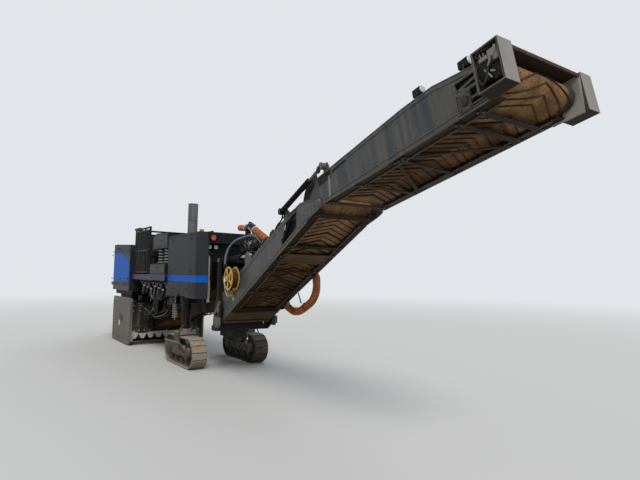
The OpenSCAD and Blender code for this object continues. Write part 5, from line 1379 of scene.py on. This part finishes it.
def make_hydraulics():
    """Valve blocks, pipes and short hoses under the platform, outside the rails."""
    body = "chassis"
    blocks, ends, tubes, pale, pipes = [], [], [], [], []
    rand = random.Random(7)
    for i in range(7):
        x = -2.62 + 0.27 * i
        deep = 0.14 + 0.03 * (i % 3)
        blocks.append(block((x, -0.755, 1.634 - deep), (x + 0.17, -0.600, 1.636), 0.006))
        blocks.append(block((x + 0.03, -0.740, 1.634 - deep - 0.05),
                            (x + 0.12, -0.640, 1.634 - deep + 0.004), 0.004))
        blocks.append(bar((x + 0.085, -0.754, 1.60 - deep * 0.4), (x + 0.085, -0.790, 1.60 - deep * 0.4),
                          0.022, 12, 0.003))
        for k in range(3):
            start = (x + 0.035 + 0.045 * k, -0.700, 1.634 - deep - 0.05)
            ends.append(start)
            drop = rand.uniform(0.10, 0.24)
            reach = rand.uniform(-0.22, 0.30)
            finish_x = min(max(start[0] + reach, -2.70), -0.84)
            line = hose([(start[0], start[1], start[2] - 0.03),
                         (start[0] + 0.02, -0.715, start[2] - drop * 0.7),
                         ((start[0] + finish_x) / 2, -0.70, start[2] - drop - 0.04),
                         (finish_x, -0.62, start[2] - drop * 0.8),
                         (finish_x, RAIL_FACE, start[2] - drop * 0.6)], 0.0115 + 0.002 * (k % 2))
            (pale if (i + k) % 4 == 0 else tubes).append(line)
    blocks += [block((-2.74, -0.520, 1.14), (-0.84, RAIL_FACE, 1.18), 0.004),
               block((-1.90, -0.60, 1.12), (-1.50, RAIL_FACE, 1.30), 0.008),
               block((-0.86, -0.66, 1.09), (-0.70, RAIL_FACE, 1.27), 0.008)]
    for z in (1.205, 1.232, 1.259):
        pipes.append(pipe([(-2.72, -0.484, z), (-0.60, -0.484, z), (-0.52, -0.484, z + 0.02)], 0.010, 0.04))
    ends_out = [(-0.70, -0.640 + 0.028 * (i % 2), 1.105 + 0.027 * i) for i in range(6)]
    tubes += [hose([(x + 0.05, y, z), (x + 0.16, y - 0.02, z - 0.02), (x + 0.22, y, z - 0.09),
                    (x + 0.20, y + 0.09, z - 0.16), (x + 0.12, RAIL_FACE, z - 0.12)], 0.012) for x,
              y, z in ends_out[:4]]
    mirrored_in("valve_blocks", blocks, MACHINE, body, BLACK)
    mirrored_in("valve_hoses", tubes, MACHINE, body, HOSE)
    mirrored_in("valve_pale_hoses", pale, MACHINE, body, GREY_HOSE)
    shiny = [fittings(ends, DOWN, 0.010), fittings(ends_out, FORWARD, 0.012)]
    mirrored_in("valve_fittings", shiny, MACHINE, body, BRIGHT)
    mirrored_in("rail_pipes", pipes, MACHINE, body, GREY_HOSE)


def make_side_lines():
    """Trays under the engine bay, hoses from the columns back to the drum box, and the cable spring."""
    body = "chassis"
    trays = [block((-4.52, -0.845, 1.175), (-3.02, -0.560, 1.275), 0.006),
             block((-3.02, -0.60, 1.00), (-2.965, -0.36, 1.26), 0.006),
             block((-4.10, -0.80, 1.000), (-3.60, -0.60, 1.180), 0.008),
             block((-3.50, -0.82, 1.000), (-3.10, -0.66, 1.180), 0.008),
             block((-2.90, -0.58, 0.985), (-2.62, -0.474, 1.14), 0.008),
             block((-1.95, -0.62, 0.80), (-1.72, -0.474, 1.13), 0.008)]
    trays += [block((-4.50 + 0.16 * i, -0.852, 1.19), (-4.47 + 0.16 * i, -0.843, 1.26),
                    0.002) for i in range(9)]
    mirrored_in("bay_trays", trays, MACHINE, body, CYLINDER_BLACK)
    rand = random.Random(31)
    lines, pale, ends = [], [], []
    for i in range(15):
        start = (-0.92 - 0.115 * i, -0.500 - 0.016 * (i % 3), 1.10 - 0.03 * (i % 2))
        y = -0.490 - 0.022 * (i % 5)
        far = (-2.90, y, 0.94 - 0.020 * i)
        sag = rand.uniform(0.10, 0.34)
        middle = ((start[0] * 0.7 + far[0] * 0.3), y - 0.02, 1.04 - sag)
        near_end = ((start[0] * 0.25 + far[0] * 0.75), y, far[2] - rand.uniform(0.04, 0.12))
        line = hose([start, (start[0] - 0.03, start[1] - 0.01, start[2] - 0.10), middle, near_end, far],
                    rand.uniform(0.011, 0.017))
        (pale if i in (3, 8, 12) else lines).append(line)
        ends.append((start[0], start[1], start[2] + 0.02))
    for i in range(9):
        x = -3.95 + 0.105 * i
        lines.append(hose([(x, -0.835, 1.18), (x + 0.02, -0.842, 1.12), (x + 0.07, -0.838, 1.065),
                           (x + 0.13, -0.80, 1.03), (x + 0.15, -0.74, 1.02)], 0.012))
    mirrored_in("side_hoses", lines, MACHINE, body, HOSE)
    mirrored_in("side_pale_hoses", pale, MACHINE, body, GREY_HOSE)
    shiny = [fittings(ends[::2], DOWN, 0.012)]
    mirrored_in("side_hose_fittings", shiny, MACHINE, body, SPRING_GREY)
    spring = [coil(8, 0.044, 0.0100, (-0.52, -0.66, 0.840), UP, 0.034),
              bar((-0.52, -0.66, 0.80), (-0.52, -0.66, 1.27), 0.014, 12)]
    mirrored_in("cable_springs", spring, MACHINE, body, SPRING_GREY)


def make_low_front():
    """Apron bolts and rubber edge, side plate hole in painted shade, reflector, wear strips and chains of
    bolts.
    """
    body = "chassis"
    heads = [bolts([(-2.9398, -0.80 + 0.16 * i, z) for i in range(11) for z in (0.93, 0.80)
                    if abs(-0.80 + 0.16 * i) > 0.36], FORWARD, 0.013)]
    heads += [bolts([(-2.9398, side * (0.78 - 0.12 * i), 0.34) for i in range(4) for side in (-1, 1)],
                    FORWARD, 0.012)]
    set_in("apron_bolts", heads, MACHINE, body, TOOTH_STEEL)
    strips = [block((APRON_FACE, -0.85, 0.955), (-2.918, 0.85, 0.978), 0.004)]
    strips += [both_sides(block((APRON_FACE, -0.83, 0.42), (-2.925, -0.40, 0.46), 0.003))]
    set_in("apron_strips", strips, MACHINE, body, APRON_PAINT)
    for side, label in ((-1, "right"), (1, "left")):
        plate_body = "plate_" + label
        oval = [(-3.63 + 0.145 * math.cos(math.radians(15 * i)),
                 0.61 + 0.085 * math.sin(math.radians(15 * i))) for i in range(24)]
        rim = [(-3.63 + 0.165 * math.cos(math.radians(15 * i)),
                0.61 + 0.105 * math.sin(math.radians(15 * i))) for i in range(24)]
        # a black oval stands for the hole: painted shade of the side plate's inside
        set_in("plate_hole_shade_" + label, [side_plate(oval, side * 0.9105, 0.002)], MACHINE, plate_body,
               BLACK)
        edges = [side_plate(rim, side * 0.9075, 0.004, 0.001)]
        edges += [side_plate([(-4.38, 0.20), (-2.93, 0.20), (-2.93, 0.235), (-4.38, 0.235)], side * 0.908,
                             0.006, 0.001), side_plate([(-2.87, 0.10), (-2.835, 0.10), (-2.835, 1.04),
                                                        (-2.87, 1.04)], side * 0.908, 0.006, 0.001),
                  side_plate([(-4.42, 1.02), (-2.90, 1.05), (-2.90, 1.075), (-4.42, 1.045)],
                             side * 0.908, 0.006, 0.001)]
        edges.append(bolts([(-4.30 + 0.19 * i, side * 0.905, z) for i in range(8) for z in (0.14, 0.97)],
                           (0, side, 0), 0.015))
        set_in("plate_edges_" + label, edges, MACHINE, plate_body, RIM_PAINT)
        mark = [side_plate([(-3.86, 0.40), (-3.76, 0.40), (-3.76, 0.53), (-3.86, 0.53)],
                           side * 0.907, 0.004, 0.001)]
        set_in("plate_reflector_" + label, mark, MACHINE, plate_body, REFLECTOR)


def make_rear():
    """Engine bay covers, louvres, latches, tail lamps, grille frame and lid trim."""
    body = "chassis"
    covers = [panel(-5.02, -4.20, 1.385, 1.470, BAY_SIDE), panel(-4.18, -3.32, 1.385, 1.470, BAY_SIDE)]
    mirrored_in("bay_covers", covers, MACHINE, body, PAINT)
    slats = louvres(-4.92, -4.30, 1.394, 3, 0.026, 0.866) + louvres(-4.05, -3.45, 1.394, 3, 0.026, 0.866)
    slats += [side_plate([(-3.95, z), (-3.36, z), (-3.36, z + 0.016), (-3.95, z + 0.016)], -0.863, 0.006,
                         0.001) for z in (2.165, 2.195, 2.225)]
    slats += [block((x - 0.03, -0.878, z - 0.018), (x + 0.03, -0.864, z + 0.018), 0.004)
              for x, z in ((-4.95, 1.56), (-4.10, 1.56), (-3.40, 1.56), (-4.95, 2.18))]
    mirrored_in("bay_louvres", slats, MACHINE, body, BLACK)
    back = -5.620
    edges = [block((back - 0.010, -0.500, z), (back + 0.002, 0.500, z + 0.022), 0.003)
             for z in (1.434, 2.128)]
    edges += [both_sides(block((back - 0.010, -0.502, 1.434), (back + 0.002, -0.480, 2.150), 0.003))]
    edges += [block((back - 0.006, -0.46, 1.35), (back + 0.002, 0.46, 1.40), 0.003)]
    set_in("grille_frame", edges, MACHINE, body, BLACK)
    shells = [both_sides(block((back - 0.028, -0.600, 1.33), (back + 0.004, -0.515, 1.43), 0.008))]
    set_in("tail_lamp_shells", shells, MACHINE, body, BLACK)
    glass = [turned([(0.030, 0), (0.030, 0.006), (0.022, 0.012), (0, 0.014)], (back - 0.026, y, z),
                    (-1, 0, 0), 20) for y in (-0.557, 0.557) for z in (1.358, 1.402)]
    set_in("tail_lamps", glass, MACHINE, body, LAMP_RED)
    lid = [both_sides(block((-5.00, -0.868, 2.272), (-3.31, -0.858, 2.290), 0.002)),
           both_sides(pipe([(-4.55, -0.858, 2.33), (-4.55, -0.900, 2.345), (-4.25, -0.900, 2.345),
                            (-4.25, -0.858, 2.33)], 0.010, 0.03))]
    lid += [block((-5.30 + 0.11 * i, -0.42, 2.463), (-5.25 + 0.11 * i, 0.42, 2.472),
                  0.002) for i in range(6)]
    set_in("lid_trim", lid, MACHINE, "hood", BLACK)
    edge = [side_plate([(-4.79, 1.486), (-3.29, 1.486), (-3.29, 1.494), (-4.79, 1.494)], -0.8655, 0.003),
            side_plate([(-4.79, 2.236), (-4.09, 2.236), (-4.09, 2.244), (-4.79, 2.244)], -0.8655, 0.003)]
    mirrored_in("blue_panel_edges", edge, MACHINE, body, BLACK)


# Tail of the front conveyor: yoke, link arm, hose carrier

def make_yoke():
    """Pins, link arms, side blocks, bolts and hoses of the slewing yoke."""
    body = "yoke"
    pins = [cap_ring(0.052, 0.014, (0.292, -0.5215, 1.101), RIGHT, 24),
            cap_ring(0.036, 0.012, (0.200, -0.508, 1.950), RIGHT, 20),
            bolts(ring(6, 0.038, (0.292, -0.532, 1.101), RIGHT), RIGHT, 0.006)]
    pins += [bolts([(x, -0.507, z) for x, z in ((0.05, 0.85), (0.05, 0.95), (0.12, 1.00), (0.18, 0.93))],
                   RIGHT, 0.014)]
    mirrored_in("yoke_pins", pins, SLEWED, body, TRACK_STEEL)
    arm = [side_plate([(0.118, 1.052), (0.150, 1.010), (0.345, 1.165), (0.385, 1.250), (0.345, 1.256),
                       (0.305, 1.200)], -0.522, 0.026),
           cap_ring(0.018, 0.010, (0.362, -0.536, 1.234), RIGHT, 18)]
    mirrored_in("yoke_link_arms", arm, SLEWED, body, GREY_PAINT)
    foot = [block((0.185, -0.560, 0.850), (0.400, -0.508, 0.985), 0.008),
            block((0.20, -0.548, 0.81), (0.36, -0.508, 0.852), 0.005)]
    mirrored_in("yoke_side_blocks", foot, SLEWED, body, GREY_PAINT)
    set_in("yoke_hopper_wall", [block((0.075, -0.42, 0.775), (0.093, 0.42, 0.930), 0.003)], SLEWED, body,
           BLACK)
    seat = [bolts(ring(14, 0.168, (0, 0, 0.7605), UP), UP, 0.012)]
    set_in("slew_ring_bolts", seat, SLEWED, body, TRACK_STEEL)
    lines = [hose([(0.06, side * 0.30, 0.80), (0.00, side * 0.36, 0.90), (-0.02, side * 0.43, 0.98),
                   (-0.035, side * 0.458, 1.10), (-0.015, side * 0.466, 1.20)], 0.013) for side in (-1, 1)]
    set_in("yoke_hoses", lines, SLEWED, body, HOSE)


def make_hose_carrier():
    """Beams over the conveyor's tail that carry the ducts, valve blocks and hoses."""
    body = "lower_conveyor"
    beams = [pipe([(2.470, -0.428, 1.985), (2.455, -0.425, 2.080), (2.430, -0.320, 2.205),
                   (2.430, 0.320, 2.205), (2.455, 0.425, 2.080), (2.470, 0.428, 1.985)], 0.020, 0.06)]
    for y in (-0.315, 0.315):
        beams.append(pipe([(2.42, y, 2.205), (1.58, y, 2.092)], 0.018))
    beams += [bar((1.60, -0.315, 2.094), (1.60, 0.315, 2.094), 0.018),
              block((1.66, -0.33, 2.105), (1.98, -0.20, 2.185), 0.006),
              block((2.05, -0.33, 2.160), (2.30, -0.22, 2.225), 0.006),
              block((1.76, -0.34, 2.18), (1.81, -0.25, 2.44), 0.005),
              block((2.15, -0.34, 2.22), (2.19, -0.25, 2.33), 0.005)]
    set_in("hose_carrier", beams, MACHINE, body, BLACK)
    rand = random.Random(12)
    dark, pale, ends = [], [], []
    for i in range(14):
        x = 1.66 + 0.045 * i
        base = 2.10 + 0.135 * (x - 1.58)
        y = -0.325 - 0.010 * (i % 3)
        ends.append((x, -0.300, base + 0.075))
        top = base + rand.uniform(0.11, 0.22)
        side = rand.choice((-1, 1))
        far = min(max(x + side * rand.uniform(0.08, 0.26), 1.60), 2.34)
        line = hose([(x, -0.300, base + 0.10), (x + side * 0.01, y, top),
                     ((x + far) / 2, y - 0.010, top + rand.uniform(-0.06, 0.03)),
                     (far, y - 0.006, base + rand.uniform(0.03, 0.09)),
                     (far - side * 0.03, -0.315, base - 0.005)], 0.0095)
        (pale if i % 3 == 1 else dark).append(line)
    set_in("carrier_hoses", dark, MACHINE, body, HOSE)
    set_in("carrier_pale_hoses", pale, MACHINE, body, GREY_HOSE)
    ends += [(1.84 + 0.05 * i, -0.335, 2.47 - 0.02 * i) for i in range(3)]
    set_in("carrier_fittings", [fittings(ends, (0, -0.3, 1), 0.011)], MACHINE, body, BRIGHT)
    clamp = [bar((1.72, -0.300, 2.496), (1.75, -0.300, 2.493), 0.060, 24, 0.003),
             bar((2.02, -0.300, 2.441), (2.045, -0.300, 2.430), 0.064, 24, 0.003)]
    set_in("duct_clamps", clamp, MACHINE, body, BRIGHT)
    arc = [(1.4556, -0.5395, 1.880), (1.4600, -0.538, 1.97), (1.480, -0.527, 2.07), (1.525, -0.505, 2.165),
           (1.60, -0.475, 2.24), (1.68, -0.445, 2.285), (1.78, -0.41, 2.315), (1.90, -0.39, 2.335),
           (2.02, -0.37, 2.340), (2.14, -0.35, 2.325), (2.22, -0.335, 2.285), (2.26, -0.32, 2.22)]
    feed = hose(arc, 0.019)
    set_in("conveyor_feed_hose", [feed], MACHINE, body, GREY_HOSE)
    stand = [block((0.600, -0.527, 0.725), (0.660, -0.475, 0.770), 0.006),
             block((0.570, -0.458, 0.300), (0.630, -0.444, 0.365), 0.003),
             pipe([(0.600, -0.452, 0.335), (0.600, -0.492, 0.380), (0.612, -0.500, 0.600),
                   (0.630, -0.500, 0.735)], 0.014, 0.03)]
    set_in("feed_hose_stand", stand, LOWER, body, BLACK)


# What the CAD nodes are finished with

NODE_FINISHES = {
    # frame, legs, drum box and scraper door take the undercarriage paint, darkened as painted shade
    "frame": LOW_PAINT, "leg_tubes": LOW_PAINT, "drum_box": LOW_PAINT, "front_apron": APRON_PAINT,
    "front_hood": HOOD_PAINT, "blue_panels": BLUE_PAINT, "exhaust": EXHAUST_STEEL, "platform": PAINT,
    "railing": BLACK, "console": BLACK, "engine_bay": PAINT, "engine_block": CAST,
    "rear_grille": GRILLE, "primary_conveyor": PRIMARY_PAINT, "primary_belt": BELT, "lamps": LAMP_RED,
    "hood_lid": HOOD_PAINT, "milling_drum": TOOL_STEEL, "scraper_door": LOW_PAINT,
    "side_plate_right": PLATE_PAINT, "side_plate_left": PLATE_PAINT,
    "carriage_front_right": CAST, "carriage_front_left": CAST, "carriage_rear_right": CAST,
    "carriage_rear_left": CAST, "crawler_front_right": TRACK_STEEL, "crawler_front_left": TRACK_STEEL,
    "crawler_rear_right": TRACK_STEEL, "crawler_rear_left": TRACK_STEEL,
    "slew_yoke": BLACK, "hose_reel": YELLOW, "lower_frame": BOARD_PAINT, "lower_belt": BELT,
    "suction_duct": DUCT, "upper_frame": BOARD_PAINT, "upper_belt": BELT, "head_drives": HEAD_GREY,
    "lift_barrel_right": CYLINDER_BLACK, "lift_barrel_left": CYLINDER_BLACK, "lift_rod_right": CHROME,
    "lift_rod_left": CHROME, "fold_barrel_right": CYLINDER_BLACK, "fold_barrel_left": CYLINDER_BLACK,
    "fold_rod_right": DULL_ROD, "fold_rod_left": DULL_ROD,
}


def finish_nodes():
    """Gives each CAD node its finish, and parts of some nodes a second one."""
    for name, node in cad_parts.items():
        node.data.materials.clear()
        node.data.materials.append(NODE_FINISHES[name])
        for face in node.data.polygons:
            face.material_index = 0
    belt_low, belt_high = BELT_FACES
    for section, place in (("lower", LOWER), ("upper", UPPER)):
        part_finish(section + "_belt", CLEAT, place, lambda at: at.z < belt_low or at.z > belt_high)
        # the inner faces of the boards take the dark underside paint, darkened as painted shade
        part_finish(section + "_frame", DARK_UNDER, place, lambda at: abs(at.y) < BOARD_INSIDE)
    part_finish("lamps", LAMP_CLEAR, MACHINE, lambda place: place.x > 0.70)
    part_finish("head_drives", RUSTY, UPPER, lambda place: abs(place.y) < 0.44)
    # the bottom faces of the head drives take the same dark underside paint as painted shade
    part_finish("head_drives", DARK_UNDER, UPPER, lambda place: place.z < 0.004)
    for name, place, tan in (("lower_belt", LOWER, lambda u: u > 2.29),
                             ("upper_belt", UPPER, lambda u: u < 0.70),
                             ("upper_belt", UPPER, lambda u: u > 2.06)):
        part_finish(name, HEAD_BELT, place, lambda at: tan(at.x) and belt_low <= at.z <= belt_high)
    # the visor's front takes the darker visor paint as painted shade
    part_finish("front_hood", VISOR, MACHINE, lambda place: place.x > 0.75 and place.z > 2.25)
    # faces inside the front recess take black paint as painted shade
    part_finish("front_hood", BLACK, MACHINE, lambda place: place.x < 0.784 and abs(place.y) < 0.548
                and place.z < 2.295)
    part_finish("platform", NAVY, MACHINE, lambda place: abs(place.y) > 0.799 and place.z > 1.575)
    # the apron's teeth take the rubbed steel, paler as painted light
    part_finish("front_apron", TOOTH_STEEL, MACHINE, lambda place: 0.10 < place.z < 0.30)
    part_finish("lamps", LAMP_RED, MACHINE, lambda place: place.x > 0.70 and place.y < 0)
    for corner in CRAWLERS:
        part_finish("carriage_" + corner, SADDLE_PAINT, MACHINE, lambda place: 0.55 < place.z < 0.70)
        part_finish("carriage_" + corner, COLUMN_PAINT, MACHINE, lambda place: place.z >= 0.70)


def part_finish(name, finish, place, inside):
    """Gives a second finish to the faces of a node whose middle lies inside a region of its part."""
    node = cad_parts[name]
    node.data.materials.append(finish)
    slot = len(node.data.materials) - 1
    back = place.inverted()
    for face in node.data.polygons:
        if inside(back @ face.center):
            face.material_index = slot


# Floor and light

def set_stage():
    """A plain pale floor that fades into the backdrop."""
    clear_bench()
    bpy.ops.mesh.primitive_circle_add(vertices=96, radius=150, fill_type="NGON")
    floor = bpy.context.object
    floor.name = "floor"
    ground = bpy.data.materials.new("floor_grey")
    ground.use_nodes = True
    tree = ground.node_tree
    tree.nodes.clear()
    leave = add_node(tree, "ShaderNodeOutputMaterial")
    matt = add_node(tree, "ShaderNodeBsdfDiffuse")
    matt.inputs["Color"].default_value = (0.56, 0.55, 0.53, 1)
    far = add_node(tree, "ShaderNodeEmission")
    far.inputs["Color"].default_value = BACKDROP
    place = add_node(tree, "ShaderNodeTexCoord").outputs["Object"]
    length = add_node(tree, "ShaderNodeVectorMath", operation="LENGTH")
    tree.links.new(place, length.inputs[0])
    mix = add_node(tree, "ShaderNodeMixShader")
    tree.links.new(band(tree, length.outputs["Value"], 9.0, 34.0), mix.inputs["Fac"])
    tree.links.new(matt.outputs[0], mix.inputs[1])
    tree.links.new(far.outputs[0], mix.inputs[2])
    tree.links.new(mix.outputs[0], leave.inputs["Surface"])
    floor.data.materials.append(ground)


BACKDROP = (0.76, 0.79, 0.82, 1.0)
SKY_LIGHT = (0.82, 0.90, 1.0, 1.0)


def set_light():
    """Soft sky light and two broad suns."""
    world = bpy.data.worlds.new("studio")
    bpy.context.scene.world = world
    world.use_nodes = True
    tree = world.node_tree
    tree.nodes.clear()
    leave = add_node(tree, "ShaderNodeOutputWorld")
    light = add_node(tree, "ShaderNodeBackground")
    light.inputs["Color"].default_value = SKY_LIGHT
    light.inputs["Strength"].default_value = 0.62
    seen = add_node(tree, "ShaderNodeBackground")
    seen.inputs["Color"].default_value = BACKDROP
    seen.inputs["Strength"].default_value = 1.0
    path = add_node(tree, "ShaderNodeLightPath")
    straight = calc(tree, "MAXIMUM", path.outputs["Is Camera Ray"], path.outputs["Is Glossy Ray"])
    straight = calc(tree, "MAXIMUM", straight, path.outputs["Is Transmission Ray"])
    mix = add_node(tree, "ShaderNodeMixShader")
    tree.links.new(straight, mix.inputs["Fac"])
    tree.links.new(light.outputs[0], mix.inputs[1])
    tree.links.new(seen.outputs[0], mix.inputs[2])
    tree.links.new(mix.outputs[0], leave.inputs["Surface"])

    def soft_sun(name, aim, spread, strength, colour):
        lamp = bpy.data.objects.new(name, bpy.data.lights.new(name, "SUN"))
        lamp.data.angle = math.radians(spread)
        lamp.data.energy = strength
        lamp.data.color = colour
        lamp.rotation_mode = "QUATERNION"
        lamp.rotation_quaternion = Vector(aim).to_track_quat("-Z", "Y")
        bpy.context.scene.collection.objects.link(lamp)

    soft_sun("key", (-0.72, 0.30, -0.78), 24, 2.0, (1.0, 0.96, 0.90))
    soft_sun("rim", (0.60, -0.55, -0.60), 40, 0.7, (0.90, 0.95, 1.0))


bpy.context.scene.view_settings.view_transform = "Standard"
set_camera()
set_light()
set_stage()
finish_nodes()
for corner in CRAWLERS:
    make_crawler(corner)
    make_carriage(corner)
make_lower_section()
make_upper_section()
make_ducts()
make_reel()
make_cleats("lower_low_cleats", [0.2975 + 0.195 * i for i in range(14)] + [2.930, 3.0275, 3.125], 3.337,
            LOWER, "lower_conveyor")
make_cleats("upper_low_cleats", [0.3375 + 0.195 * i for i in range(11)] + [2.395, 2.490, 2.595], 2.500,
            UPPER, "upper_conveyor")
make_heel_shields()
make_hood()
make_platform()
make_hydraulics()
make_side_lines()
make_low_front()
make_rear()
make_yoke()
make_hose_carrier()
clear_bench()
